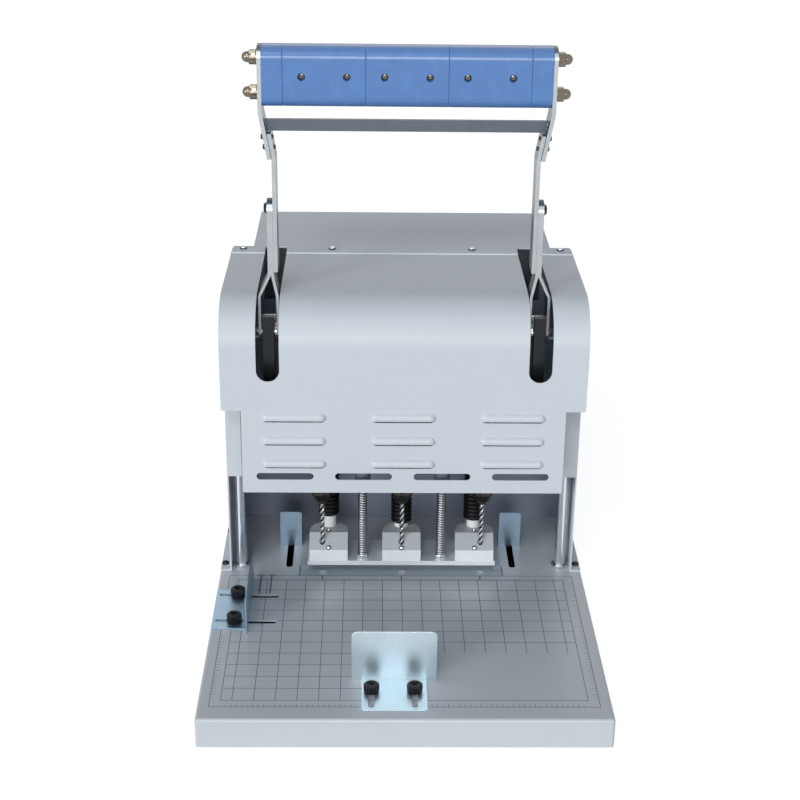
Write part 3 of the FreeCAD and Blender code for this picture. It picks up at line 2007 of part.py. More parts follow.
def spindles():
    nose_z = f"({TOP} + chuck_nose_rise)"
    chuck_top = f"({nose_z} + chuck_length)"
    for side, index in STATIONS:
        place_x = across(index, "drill_pitch")
        nose = cone(
            f"chuck_{side}_nose",
            place_x,
            DRILL_Y,
            nose_z,
            "bit_diameter / 2 + 1.2",
            "chuck_diameter / 2",
            "chuck_nose",
        )
        body = rod(
            f"chuck_{side}_body",
            place_x,
            DRILL_Y,
            f"{nose_z} + chuck_nose",
            "chuck_diameter / 2",
            "chuck_length - chuck_nose",
        )
        bore = rod(
            f"chuck_{side}_bore",
            place_x,
            DRILL_Y,
            f"{nose_z} - 1",
            "bit_diameter / 2",
            "chuck_length - 11",
        )
        keep(f"chuck_{side}", cut(f"chuck_{side}", union(f"chuck_{side}_blank", nose, body), bore))
        shaft = rod(
            f"spindle_{side}_shaft",
            place_x,
            DRILL_Y,
            chuck_top,
            "spindle_diameter / 2",
            f"{TOP} + belt_rise + belt_width + 2 * pulley_flange + 2 - {chuck_top}",
        )
        wheel = pulley(f"spindle_{side}_wheel", place_x, DRILL_Y)
        keep(f"spindle_{side}", union(f"spindle_{side}", shaft, wheel))
        keep(f"drill_bit_{side}", twisted_bit(f"drill_bit_{side}", index * size("drill_pitch")))


def presser():
    plate = block(
        "presser_blank",
        "0",
        "presser_depth / 2 - presser_front",
        PRESSER_Z,
        "presser_width",
        "presser_depth",
        "presser_thickness",
    )
    tools = []
    for side, index in STATIONS:
        tools.append(
            rod(
                f"presser_bit_hole_{side}",
                across(index, "drill_pitch"),
                DRILL_Y,
                f"{PRESSER_Z} - 1",
                "bit_hole / 2",
                "presser_thickness + 2",
            )
        )
    for side in ("-", ""):
        tools.append(
            rod(
                f"presser_rod_hole{'_left' if side else '_right'}",
                f"{side}rod_x",
                DRILL_Y,
                f"{PRESSER_Z} - 1",
                "rod_diameter / 2 + hole_clearance",
                "presser_thickness + 2",
            )
        )
    keep("presser_plate", cut("presser_plate", plate, *tools))

    hoods = []
    screws = []
    fittings = []
    for side, index in STATIONS:
        centre = across(index, "hood_pitch")
        slice_ = outline(
            f"hood_{side}_side",
            "YZ",
            [
                ("-hood_front", "0"),
                ("(hose_back + fitting_diameter / 2 + 3)", "0"),
                ("(hose_back + fitting_diameter / 2 + 3)", "hood_height"),
                ("-hood_front + hood_slope", "hood_height"),
                ("-hood_front", "hood_face"),
            ],
            "hood_width",
        )
        place(slice_, centre, "0", PRESSER_TOP)
        plan = union(
            f"hood_{side}_plan",
            block(
                f"hood_{side}_plan_front",
                centre,
                "-hood_front + hood_side / 2",
                PRESSER_TOP,
                "hood_width",
                "hood_side",
                "hood_height",
            ),
            rod(
                f"hood_{side}_plan_round",
                centre,
                "-hood_front + hood_side",
                PRESSER_TOP,
                "hood_width / 2",
                "hood_height",
            ),
            rod(
                f"hood_{side}_plan_boss",
                centre,
                "hose_back",
                PRESSER_TOP,
                "fitting_diameter / 2 + 3",
                "hood_height",
            ),
        )
        form = common(f"hood_{side}_form", slice_, plan)
        tools = [
            rod(
                f"hood_{side}_bit_hole",
                across(index, "drill_pitch"),
                DRILL_Y,
                f"{PRESSER_TOP} - 1",
                "bit_hole / 2",
                "hood_height + 2",
            ),
            rod(
                f"hood_{side}_port",
                centre,
                "hose_back",
                f"{PRESSER_TOP} + 4",
                "fitting_bore / 2",
                "hood_height",
            ),
            block(
                f"hood_{side}_channel",
                centre,
                "(hose_back - drill_forward) / 2",
                f"{PRESSER_TOP} + 4",
                "fitting_bore + 6",
                "hose_back + drill_forward",
                "6",
            ),
        ]
        crest = (centre, "-hood_front + hood_slope + hood_screw_head / 2", HOOD_TOP)
        slope = (
            centre,
            "-hood_front + hood_screw_step",
            f"{PRESSER_TOP} + hood_face + hood_screw_step * (hood_height - hood_face) / hood_slope",
        )
        for level, seat, way in (("upper", crest, "-Z"), ("lower", slope, "+Y-Z")):
            tools.append(
                rod(
                    f"hood_{side}_screw_hole_{level}",
                    *seat,
                    "hood_screw / 2 + hole_clearance",
                    "hood_screw_length + hole_clearance",
                    way,
                )
            )
            screws.append(
                screw(
                    f"hood_screw_{side}_{level}",
                    seat,
                    way,
                    "hood_screw_length",
                    shank="hood_screw",
                    head="hood_screw_head",
                    high="hood_screw_head / 3",
                )
            )
        hoods.append(cut(f"hood_{side}", form, *tools))
        tube = rod(
            f"fitting_{side}_tube",
            centre,
            "hose_back",
            HOOD_TOP,
            "fitting_diameter / 2",
            "cuff_rise - presser_gap - presser_thickness - hood_height + 15",
        )
        bore = rod(
            f"fitting_{side}_bore",
            centre,
            "hose_back",
            f"{HOOD_TOP} - 1",
            "fitting_bore / 2",
            "cuff_rise",
        )
        fittings.append(cut(f"fitting_{side}", tube, bore))
    keep("suction_hoods", group("suction_hoods", *hoods))
    keep("hose_fittings", group("hose_fittings", *fittings))

    rods = []
    for side in ("-", ""):
        name = "left" if side else "right"
        rods.append(
            rod(
                f"presser_rod_{name}",
                f"{side}rod_x",
                DRILL_Y,
                PRESSER_Z,
                "rod_diameter / 2",
                "rod_rise - presser_gap",
            )
        )
        for level, low in (("lower", PRESSER_TOP), ("upper", f"{TOP} + rod_rise - rod_nut_height - 2")):
            nut = hexagon(
                f"rod_nut_{name}_{level}_blank",
                f"{side}rod_x",
                DRILL_Y,
                low,
                "rod_nut_flats",
                "rod_nut_height",
            )
            bore = rod(
                f"rod_nut_{name}_{level}_bore",
                f"{side}rod_x",
                DRILL_Y,
                f"{low} - 1",
                "rod_diameter / 2 + hole_clearance / 2",
                "rod_nut_height + 2",
            )
            screws.append(cut(f"rod_nut_{name}_{level}", nut, bore))
    keep("presser_rods", group("presser_rods", *rods))
    keep("presser_fasteners", group("presser_fasteners", *screws))


def biarc(start, start_way, end, end_way):
    """Two tangent arcs from one point and direction to another."""
    span = end - start
    ways = start_way + end_way
    a = 2 * (1 - start_way.dot(end_way))
    b = 2 * span.dot(ways)
    c = -span.dot(span)
    reach = (-b + math.sqrt(b * b - 4 * a * c)) / (2 * a)
    joint = (start + start_way * reach + end - end_way * reach) * 0.5
    arcs = []
    for one, other, way in ((start, joint, start_way), (joint, end, None)):
        if way is None:
            way = (end - end_way * reach - joint).normalize()
        chord = other - one
        across_way = (chord - way * chord.dot(way)).normalize()
        radius = chord.dot(chord) / (2 * chord.dot(across_way))
        centre = one + across_way * radius
        half = ((one - centre) + (other - centre)).normalize() * radius
        if half.dot(way) < 0:
            half = half * -1
        arcs.append(Part.Arc(one, centre + half, other).toShape())
    return arcs


def coil(x, y, low, high, turns, radius, wire):
    """A round compression spring along Z, swept along arcs of a quarter turn each."""
    pitch = (high - low) / turns
    steps = int(turns * 4)
    slope = pitch / (2 * math.pi * radius)

    def point(step):
        angle = step * math.pi / 2
        return Vector(x + radius * math.cos(angle), y + radius * math.sin(angle), low + pitch * step / 4)

    def way(step):
        angle = step * math.pi / 2
        return Vector(-math.sin(angle), math.cos(angle), slope).normalize()

    edges = []
    for step in range(steps):
        edges += biarc(point(step), way(step), point(step + 1), way(step + 1))
    spine = Part.Wire(edges)
    section = Part.Wire([Part.makeCircle(wire / 2, point(0), way(0))])
    shell = Part.BRepOffsetAPI.MakePipeShell(spine)
    shell.add(section)
    shell.build()
    shell.makeSolid()
    marks = [edge.valueAt(edge.FirstParameter + share * (edge.LastParameter - edge.FirstParameter))
             for edge in edges for share in (0.0, 0.5)]
    turn = 16
    gaps = [
        (marks[i] - marks[j]).Length - wire
        for i in range(2 * turn)
        for j in range(i + turn // 2, i + 2 * turn)
    ]
    print("least gap between the turns of a spring, mm:", round(min(gaps), 2))
    return shell.shape()


def presser_springs():
    seat = top() + size("presser_gap") + size("presser_thickness") + size("rod_nut_height")
    roof = top() + size("beam_rise") - size("cup_length")
    wire = size("spring_wire")
    gap = 0.3
    radius = (size("spring_diameter") - wire) / 2
    pieces = [
        coil(
            side * size("rod_x"),
            -size("drill_forward"),
            seat + wire / 2 + gap,
            roof - wire / 2 - gap,
            size("spring_turns"),
            radius,
            wire,
        )
        for side in (-1, 1)
    ]
    keep("presser_springs", shaped("presser_springs", Part.makeCompound(pieces)))


def hose_station(distance, straight, bend):
    """Place and direction along a hose that rises, bends back and ends level."""
    quarter = bend * math.pi / 2
    if distance <= straight:
        return Vector(0, 0, distance), Vector(0, 0, 1)
    if distance <= straight + quarter:
        angle = (distance - straight) / bend
        spot = Vector(0, bend * (1 - math.cos(angle)), straight + bend * math.sin(angle))
        return spot, Vector(0, math.sin(angle), math.cos(angle))
    rest = distance - straight - quarter
    return Vector(0, bend + rest, straight + bend), Vector(0, 1, 0)


def hose_ring(origin, distance, radius):
    """A circle round the hose, turned the same way all along it."""
    spot, way = hose_station(distance, size("hose_straight"), size("hose_bend"))
    ring = Part.makeCircle(radius, Vector(0, 0, 0), Vector(0, 0, 1))
    ring.Placement = FreeCAD.Placement(origin + spot, Rotation(Vector(0, 0, 1), way))
    return Part.Wire([ring])


def suction_hoses():
    straight = size("hose_straight")
    bend = size("hose_bend")
    end_y = size("panel_back") - size("manifold_depth") - 2
    length = straight + bend * math.pi / 2 + end_y - size("hose_back") - bend
    crest = size("hose_diameter") / 2
    valley = size("hose_valley") / 2
    plain = size("hose_diameter")
    ribs = int((length - 2 * plain) / size("rib_pitch"))
    pitch = (length - 2 * plain) / ribs
    stations = [(0.0, valley), (plain, valley)]
    for rib in range(ribs):
        start = plain + rib * pitch
        stations += [
            (start + 0.2 * pitch, valley),
            (start + 0.35 * pitch, crest),
            (start + 0.75 * pitch, crest),
            (start + 0.9 * pitch, valley),
        ]
    stations += [(length - plain, valley), (length, valley)]
    hoses = []
    for side, index in STATIONS:
        origin = Vector(
            index * size("hood_pitch"), size("hose_back"), top() + size("cuff_rise")
        )
        outside = Part.makeLoft([hose_ring(origin, d, r) for d, r in stations], True, True)
        marks = [0.0, straight] + [straight + bend * math.pi / 2 * i / 6 for i in range(1, 7)] + [length]
        bore = Part.makeLoft(
            [hose_ring(origin, d, size("hose_bore") / 2) for d in marks], True, True
        )
        hoses.append(outside.cut(bore))
    keep("suction_hoses", shaped("suction_hoses", Part.makeCompound(hoses)))


def suction():
    port_z = f"({TOP} + cuff_rise + hose_straight + hose_bend)"
    box_y = "panel_back - manifold_depth / 2"
    box = block(
        "manifold_box",
        "0",
        box_y,
        f"{port_z} - manifold_height / 2",
        "manifold_width",
        "manifold_depth",
        "manifold_height",
    )
    spigots = [
        rod(
            f"manifold_spigot_{side}",
            across(index, "hood_pitch"),
            "panel_back - manifold_depth + 2",
            port_z,
            "fitting_diameter / 2",
            "20",
            "-Y",
        )
        for side, index in STATIONS
    ]
    bores = [
        rod(
            f"manifold_port_{side}",
            across(index, "hood_pitch"),
            "panel_back - manifold_depth + 4",
            port_z,
            "fitting_bore / 2",
            "24",
            "-Y",
        )
        for side, index in STATIONS
    ]
    outlet = rod(
        "manifold_outlet",
        "0",
        "panel_back - 2",
        port_z,
        "pipe_diameter / 2",
        "vacuum_back - panel_back - 36",
        "+Y",
    )
    drop = rod(
        "manifold_drop",
        "0",
        "vacuum_back - 38",
        f"{TOP} + drawer_height + 6",
        "pipe_diameter / 2 + 2",
        f"{port_z} + pipe_diameter / 2 + 2 - {TOP} - drawer_height - 6",
    )
    blank = union("manifold_blank", box, *spigots, outlet, drop)
    keep("suction_manifold", cut("suction_manifold", blank, *bores))

    fan = rod(
        "vacuum_fan",
        "0",
        "vacuum_back",
        f"{TOP} + vacuum_rise + 14",
        "vacuum_diameter / 2",
        "vacuum_height",
    )
    can = rod(
        "vacuum_can",
        "0",
        "vacuum_back",
        f"{TOP} + vacuum_rise + 13 + vacuum_height",
        "vacuum_diameter / 3",
        "50",
    )
    shelf = block(
        "vacuum_shelf",
        "0",
        "(panel_back + side_sheet + rear_back - rear_sheet - 1) / 2",
        f"{TOP} + vacuum_rise + 11",
        "rear_width - 2 * rear_sheet - 1",
        "rear_back - rear_sheet - 1 - panel_back - side_sheet",
        "3",
    )
    keep("vacuum_motor", union("vacuum_motor", fan, can, shelf))


def dust_drawer():
    back = "(rear_back + 0.5)"
    low = f"({TOP} + 2 + drawer_gap)"
    shell = block(
        "drawer_outside",
        "0",
        f"{back} - drawer_length / 2",
        low,
        "drawer_width",
        "drawer_length",
        "drawer_height",
    )
    inside = block(
        "drawer_inside",
        "0",
        f"{back} - drawer_length / 2",
        f"{low} + drawer_wall",
        "drawer_width - 2 * drawer_wall",
        "drawer_length - 2 * drawer_wall",
        "drawer_height",
    )
    runner = [
        block(
            f"drawer_runner{'_left' if side else '_right'}",
            f"{side}(drawer_width / 2 - 12)",
            f"{back} - drawer_length / 2",
            TOP,
            "runner_width",
            "drawer_length - 4",
            "2 + drawer_gap",
        )
        for side in ("-", "")
    ]
    hold = facing_slot(
        "drawer_hold", "0", back, f"{low} + 0.6 * drawer_height", "hold_length", "hold_height", "20"
    )
    bin_ = cut("drawer_bin", shell, inside, hold)
    keep("dust_drawer", union("dust_drawer", bin_, *runner))


def power():
    back = "(rear_back + 1)"
    frame = block(
        "inlet_body",
        "-inlet_x",
        f"{back} - inlet_depth / 2",
        f"{TOP} + inlet_rise",
        "inlet_width",
        "inlet_depth",
        "inlet_height",
    )
    lip = block(
        "inlet_lip",
        "-inlet_x",
        f"{back}",
        f"{TOP} + inlet_rise - inlet_lip",
        "inlet_width + 2 * inlet_lip",
        "2",
        "inlet_height + 2 * inlet_lip",
    )
    socket = block(
        "inlet_socket",
        "-inlet_x",
        f"{back} - 8",
        f"{TOP} + inlet_rise + 4",
        "socket_width",
        "20",
        "socket_height",
    )
    well = block(
        "switch_well",
        "-inlet_x",
        f"{back} - 8",
        f"{TOP} + inlet_rise + inlet_height - switch_height - inlet_lip",
        "switch_width",
        "20",
        "switch_height",
    )
    pins = [
        block(
            f"inlet_pin_{number}",
            f"-inlet_x {shift}",
            f"{back} - 12",
            f"{TOP} + inlet_rise + {rise}",
            "2",
            "12",
            "4",
        )
        for number, (shift, rise) in enumerate((("- 6", "10"), ("+ 6", "10"), ("+ 0", "15")))
    ]
    shell = cut("inlet_shell", union("inlet_blank", frame, lip), socket, well)
    keep("power_inlet", union("power_inlet", shell, *pins))
    rocker = outline(
        "power_rocker",
        "YZ",
        [("-9", "-8"), ("2", "-10.5"), ("0", "0"), ("2", "10.5"), ("-9", "8")],
        "switch_width - 2 * switch_gap",
    )
    rocker.Placement.Rotation = Rotation(Vector(1, 0, 0), ROCKER_TILT)
    place(rocker, "-inlet_x", f"{back} + 1", f"{TOP} + inlet_rise + 43")
    keep("power_rocker", rocker)


def knob(name, x, y):
    """A knurled thumb knob on a stud that goes down through bracket and base."""
    low = f"({TOP} + guide_sheet)"
    rim = rod(name + "_rim", x, y, low, "knob_diameter / 2", "knob_height")
    count = 16
    turn = 2 * math.pi / count
    flutes = [
        rod(
            f"{name}_flute_{i}",
            f"({x}) + knob_diameter / 2 * {math.cos(i * turn):.4f}",
            f"({y}) + knob_diameter / 2 * {math.sin(i * turn):.4f}",
            f"{low} - 1",
            "0.8",
            "knob_height + 2",
        )
        for i in range(count)
    ]
    socket = rod(name + "_socket", x, y, f"{low} + knob_height - 3", "knob_diameter / 4", "4")
    grip_part = cut(name + "_grip", rim, *flutes, socket)
    stud = rod(
        name + "_stud", x, y, f"{TOP} - pan_sheet - 6", "knob_stud / 2", "pan_sheet + guide_sheet + 7"
    )
    return union(name, grip_part, stud)


def side_guide():
    fence = block(
        "guide_fence",
        "-guide_x",
        "-guide_front + guide_length / 2",
        TOP,
        "guide_sheet",
        "guide_length",
        "guide_height",
    )
    foot = block(
        "guide_foot",
        "-(guide_x + guide_flange / 2)",
        "-guide_flange_front + guide_flange_length / 2",
        TOP,
        "guide_flange",
        "guide_flange_length",
        "guide_sheet",
    )
    tools = [
        slot(
            f"guide_foot_slot_{end}",
            "-(guide_stud_x + 5)",
            f"-guide_stud_{end}",
            f"{TOP} - 1",
            "28",
            "knob_stud + 0.4",
            "guide_sheet + 2",
        )
        for end in ("front", "rear")
    ]
    keep("side_guide_bracket", cut("side_guide_bracket", union("guide_folded", fence, foot), *tools))
    for end in ("front", "rear"):
        keep(
            f"side_guide_knob_{end}",
            knob(f"side_guide_knob_{end}", "-guide_stud_x", f"-guide_stud_{end}"),
        )


def front_stop():
    fence = block(
        "stop_fence",
        "-stop_x",
        "-stop_y + guide_sheet / 2",
        TOP,
        "stop_width",
        "guide_sheet",
        "stop_height",
    )
    crest = top() + size("stop_height")
    fence = rounded(
        "stop_fence_rounded",
        fence,
        size("stop_round"),
        lambda edge: runs_along(edge, "Y") and middle(edge).z > crest - 0.01,
    )
    foot = block(
        "stop_foot",
        "-stop_x",
        "-stop_y - stop_flange / 2 + guide_sheet",
        TOP,
        "stop_flange_width",
        "stop_flange",
        "guide_sheet",
    )
    front = -size("stop_y") - size("stop_flange") + size("guide_sheet")
    foot = rounded(
        "stop_foot_rounded",
        foot,
        size("stop_round") / 2,
        lambda edge: runs_along(edge, "Z") and middle(edge).y < front + 0.01,
    )
    tools = [
        slot(
            f"stop_slot_{name}",
            f"-stop_knob_x {sign} stop_knob_pitch / 2",
            "-stop_knob_y - 7",
            f"{TOP} - 1",
            "stop_slot_length",
            "knob_stud + 0.6",
            "guide_sheet + 2",
            "Y",
        )
        for name, sign in (("left", "-"), ("right", "+"))
    ]
    keep("front_stop_bracket", cut("front_stop_bracket", union("stop_folded", fence, foot), *tools))
    for name, sign in (("left", "-"), ("right", "+")):
        keep(
            f"front_stop_knob_{name}",
            knob(f"front_stop_knob_{name}", f"-stop_knob_x {sign} stop_knob_pitch / 2", "-stop_knob_y"),
        )


def back_stops():
    for side in ("-", ""):
        name = "left" if side else "right"
        fence = block(
            f"back_fence_{name}",
            f"{side}back_stop_x",
            "back_stop_y + guide_sheet / 2",
            TOP,
            "back_stop_width",
            "guide_sheet",
            "back_stop_height",
        )
        crest = top() + size("back_stop_height")
        fence = rounded(
            f"back_fence_{name}_rounded",
            fence,
            size("stop_round") / 2,
            lambda edge: runs_along(edge, "Y") and middle(edge).z > crest - 0.01,
        )
        foot = block(
            f"back_foot_{name}",
            f"{side}back_stop_x",
            "back_stop_y + back_stop_foot / 2",
            TOP,
            "back_stop_width",
            "back_stop_foot",
            "guide_sheet",
        )
        middle_y = "back_stop_y + back_stop_foot / 2 + 2"
        stud = rod(
            f"back_stud_{name}",
            f"{side}back_stop_x",
            middle_y,
            f"{TOP} - pan_sheet - 5",
            "back_slot_width / 2 - 0.5",
            "pan_sheet + guide_sheet + 5",
        )
        nut = hexagon(
            f"back_nut_{name}",
            f"{side}back_stop_x",
            middle_y,
            f"{TOP} + guide_sheet",
            "rod_nut_flats",
            "rod_nut_height",
        )
        keep(f"back_stop_{name}", union(f"back_stop_{name}", fence, foot, stud, nut))


base_pan()
die()
side_plates()
back_panel()
guide_columns()
front_cover()
rear_cover()
frame_screws()
shaft_bearings()
handle_shaft()
racks()
lever_forks()
handle_arms()
arm_bolts()
grip()
carriage()
drive_belt()
spindles()
presser()
presser_springs()
suction_hoses()
suction()
dust_drawer()
power()
side_guide()
front_stop()
back_stops()
doc.recompute()

for thing in doc.Objects:
    for state in thing.State:
        if state in ("Invalid", "Error"):
            raise RuntimeError(f"{thing.Name} is {state}")
for thing in NODES:
    if thing.Shape.isNull() or not thing.Shape.isValid() or thing.Shape.Volume <= 0:
        raise RuntimeError(f"{thing.Label} has no valid shape")

os.makedirs("parts", exist_ok=True)
for thing in NODES:
    thing.Shape.exportStep(os.path.join("parts", thing.Label + ".step"))
print(len(NODES), "sub-parts written")
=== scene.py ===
import json
import math

import bmesh
import bpy
from mathutils import Matrix, Vector


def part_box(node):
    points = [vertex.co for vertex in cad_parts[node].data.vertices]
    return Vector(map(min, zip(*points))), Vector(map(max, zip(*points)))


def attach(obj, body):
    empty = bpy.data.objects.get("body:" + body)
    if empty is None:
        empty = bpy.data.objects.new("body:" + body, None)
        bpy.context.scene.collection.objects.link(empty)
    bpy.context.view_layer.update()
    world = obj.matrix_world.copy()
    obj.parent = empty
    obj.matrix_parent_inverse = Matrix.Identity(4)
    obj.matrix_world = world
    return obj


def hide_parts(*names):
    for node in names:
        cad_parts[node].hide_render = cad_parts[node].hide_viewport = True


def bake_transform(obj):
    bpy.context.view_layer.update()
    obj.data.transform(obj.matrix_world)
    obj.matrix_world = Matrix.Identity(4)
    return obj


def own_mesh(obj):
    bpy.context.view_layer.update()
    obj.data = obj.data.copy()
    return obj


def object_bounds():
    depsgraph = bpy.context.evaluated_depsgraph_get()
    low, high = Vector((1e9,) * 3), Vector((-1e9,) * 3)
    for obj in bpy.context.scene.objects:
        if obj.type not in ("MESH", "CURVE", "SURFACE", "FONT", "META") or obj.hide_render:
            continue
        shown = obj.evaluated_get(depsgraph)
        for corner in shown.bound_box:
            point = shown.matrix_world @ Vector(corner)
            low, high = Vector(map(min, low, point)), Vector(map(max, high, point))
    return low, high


# The look of the three-hole paper drill, built round its frame.
# Every place is in metres; MM turns a size in millimetres into metres.

MM = 0.001

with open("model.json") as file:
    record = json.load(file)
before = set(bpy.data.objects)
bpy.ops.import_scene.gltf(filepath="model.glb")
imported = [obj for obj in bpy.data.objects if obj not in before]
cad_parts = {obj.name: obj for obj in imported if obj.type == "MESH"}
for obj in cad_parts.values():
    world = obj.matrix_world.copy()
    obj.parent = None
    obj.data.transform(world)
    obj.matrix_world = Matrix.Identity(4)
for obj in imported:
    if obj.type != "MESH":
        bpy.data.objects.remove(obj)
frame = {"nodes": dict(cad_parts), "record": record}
CAD_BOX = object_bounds()
BODY_OF = {
    node: body
    for body, nodes in frame["record"]["behaviour"]["bodies"].items()
    for node in nodes
}
SLOT_OF = {entry["node"]: entry["material_slot"] for entry in frame["record"]["subparts"]}

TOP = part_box("base_pan")[1].z
STATIONS = ("left", "middle", "right")

# Printed lines on the base
GRID_STEP = 20 * MM
GRID_HALF = 8
GRID_ROWS = 11
GRID_BACK = -33.3 * MM
INNER_BORDER = (-170.3 * MM, 169.8 * MM, -252.9 * MM, -31.5 * MM)
OUTER_BORDER = (-180.4 * MM, 180.0 * MM, -263.3 * MM, -23.4 * MM)
LABEL_LEFT = 21 * MM
LABEL_BACK = -172.8 * MM
LINE_WIDTH = 0.6 * MM
INK_HEIGHT = 0.05 * MM
TICK_STEP = 5 * MM
TICK_START = -170 * MM
TICK_LENGTH = 2.6 * MM
TICK_WIDTH = 0.45 * MM

# The side guide's slots, where the printed lines break, and the bold marks near the drills
GUIDE_SLOT_X = (-178.5 * MM, -125.5 * MM)
GUIDE_SLOT_Y = (-116 * MM, -66 * MM)
GUIDE_SLOT_HALF = 3.6 * MM
PAIR_MARK_X = (-147.3 * MM, -136.3 * MM)
PAIR_MARK_Y = (-60 * MM, -23.8 * MM)
PAIR_BAR_Y = -22.6 * MM
PAIR_BAR_HALF = 3.5 * MM
STOP_MARK_X = 107.2 * MM
STOP_MARK_Y = (-24 * MM, -3 * MM)
DRILL_MARK_Y = (-31 * MM, -24 * MM)

# Springs, hoses, bits and chucks
SPRING_TURNS = 27
SPRING_WIRE = 1.25 * MM
SPRING_WIDTH = 9.6 * MM
HOSE_RADIUS = 11 * MM
HOSE_GROOVE = 9.4 * MM
HOSE_BORE = 7.7 * MM
HOSE_RISE = 30 * MM
HOSE_BEND = 45 * MM
RIB_PITCH = 4.6 * MM
HOSE_PUSHED_ON = {-1: 0.0, 0: 8.5 * MM, 1: 4.5 * MM}
BIT_TWIST = 14 * MM
BIT_POINT = 0.7
JAW_GAP = 1.1 * MM
CHUCK_TAPER = 12 * MM
CHUCK_BORE = 2.55 * MM
LAND_SHARE = 0.22
BACKED_OFF = 0.93
FLUTE_DEPTH = 0.48

# Knobs, screw heads and nuts. HEAD_RISE and NUT_RISE are heights over a head's radius.
KNOB_FOOT = 2 * MM
KNOBS = ["side_guide_knob_front", "side_guide_knob_rear"]
KNOBS += ["front_stop_knob_left", "front_stop_knob_right"]
KNOB_FLUTES = 22
SOCKET_DEPTH = 3.5 * MM
HEAD_RISE = 0.57
HEAD_SUNK = 0.35
LOW_HEAD = 0.55
NUT_RISE = 0.92
CAP_FLATS = 13 * MM
CAP_DOME = 5.2 * MM
CAP_BORE = 4.05 * MM

# The lever's sheared edges are bright above FORK_SHADE and outside the cross bar's ends; below
# FORK_SHADE they keep the dark arm steel as painted shade inside the cover.
FORK_SHADE = 330 * MM
BAR_HALF = 120 * MM

# Edges
SHEET_EDGE = 0.35 * MM
BLOCK_EDGE = 0.6 * MM
HOOD_EDGE = 0.9 * MM
GRIP_EDGE = 1.0 * MM
MERGE = 0.004 * MM


def linear(red, green, blue):
    """The shader's colour for red, green and blue from 0 to 255."""

    def curve(value):
        value /= 255
        return value / 12.92 if value <= 0.04045 else ((value + 0.055) / 1.055) ** 2.4

    return (curve(red), curve(green), curve(blue), 1.0)


# Node groups that the materials share


def new_tree(name, kind, inputs, outputs):
    """A node group with named inputs and outputs, and its two end nodes."""
    tree = bpy.data.node_groups.new(name, kind)

    def socket(way, label, carried):
        return tree.interface.new_socket(label, in_out=way, socket_type="NodeSocket" + carried)

    for label, carried, value in inputs:
        made = socket("INPUT", label, carried)
        if value is not None:
            made.default_value = value
    for label, carried in outputs:
        socket("OUTPUT", label, carried)
    return tree, tree.nodes.new("NodeGroupInput"), tree.nodes.new("NodeGroupOutput")


def feed(tree, source, target):
    """Links a socket to an input, or sets the input's value."""
    if isinstance(source, bpy.types.NodeSocket):
        tree.links.new(source, target)
    else:
        target.default_value = source


def maths(tree, operation, first, second=0.0, clamp=False):
    node = tree.nodes.new("ShaderNodeMath")
    node.operation = operation
    node.use_clamp = clamp
    feed(tree, first, node.inputs[0])
    feed(tree, second, node.inputs[1])
    return node.outputs[0]


def swing(tree, value, size):
    """A value about 0.5 turned into one about 0 that swings by size."""
    return maths(tree, "MULTIPLY", maths(tree, "SUBTRACT", value, 0.5), size)


def noise(tree, vector, scale, detail=2.0, roughness=0.5):
    node = tree.nodes.new("ShaderNodeTexNoise")
    feed(tree, vector, node.inputs["Vector"])
    feed(tree, scale, node.inputs["Scale"])
    node.inputs["Detail"].default_value = detail
    node.inputs["Roughness"].default_value = roughness
    return node.outputs["Fac"]


def remap(tree, value, low, high, new_low, new_high):
    node = tree.nodes.new("ShaderNodeMapRange")
    feed(tree, value, node.inputs["Value"])
    labels = ("From Min", "From Max", "To Min", "To Max")
    for label, number in zip(labels, (low, high, new_low, new_high)):
        feed(tree, number, node.inputs[label])
    return node.outputs["Result"]


def shaded(tree, colour, factor):
    """A colour made lighter or darker by a factor about 1."""
    node = tree.nodes.new("ShaderNodeVectorMath")
    node.operation = "SCALE"
    feed(tree, colour, node.inputs[0])
    feed(tree, factor, node.inputs["Scale"])
    return node.outputs["Vector"]


def mixed(tree, factor, first, second):
    node = tree.nodes.new("ShaderNodeMix")
    node.data_type = "RGBA"
    feed(tree, factor, node.inputs["Factor"])
    feed(tree, first, node.inputs[6])
    feed(tree, second, node.inputs[7])
    return node.outputs[2]


SURFACE = [("Colour", "Color"), ("Roughness", "Float"), ("Height", "Float")]
WHITE = (1.0, 1.0, 1.0, 1.0)


def paint_group():
    """Stoved texture paint: fine orange peel, faint clouds, specks and rubbed spots."""
    tree, start, end = new_tree(
        "TexturePaint",
        "ShaderNodeTree",
        [
            ("Vector", "Vector", None),
            ("Colour", "Color", WHITE),
            ("Scuff Colour", "Color", WHITE),
            ("Peel Scale", "Float", 1400.0),
            ("Cloud", "Float", 0.04),
            ("Gloss", "Float", 0.4),
        ],
        SURFACE,
    )
    vector = start.outputs["Vector"]
    peel = noise(tree, vector, start.outputs["Peel Scale"], 3.0, 0.55)
    cloud = noise(tree, vector, 14.0, 4.0, 0.6)
    speck = noise(tree, vector, 5200.0, 1.0, 0.5)
    scuff = noise(tree, vector, 240.0, 6.0, 0.75)
    lift = swing(tree, cloud, start.outputs["Cloud"])
    grain = swing(tree, speck, 0.09)
    factor = maths(tree, "ADD", maths(tree, "ADD", lift, grain), 1.0)
    rubbed = remap(tree, scuff, 0.7, 0.8, 0.0, 0.35)
    base = shaded(tree, start.outputs["Colour"], factor)
    feed(tree, mixed(tree, rubbed, base, start.outputs["Scuff Colour"]), end.inputs["Colour"])
    sheen = swing(tree, peel, 0.25)
    feed(tree, maths(tree, "ADD", start.outputs["Gloss"], sheen, True), end.inputs["Roughness"])
    feed(tree, peel, end.inputs["Height"])
    return tree


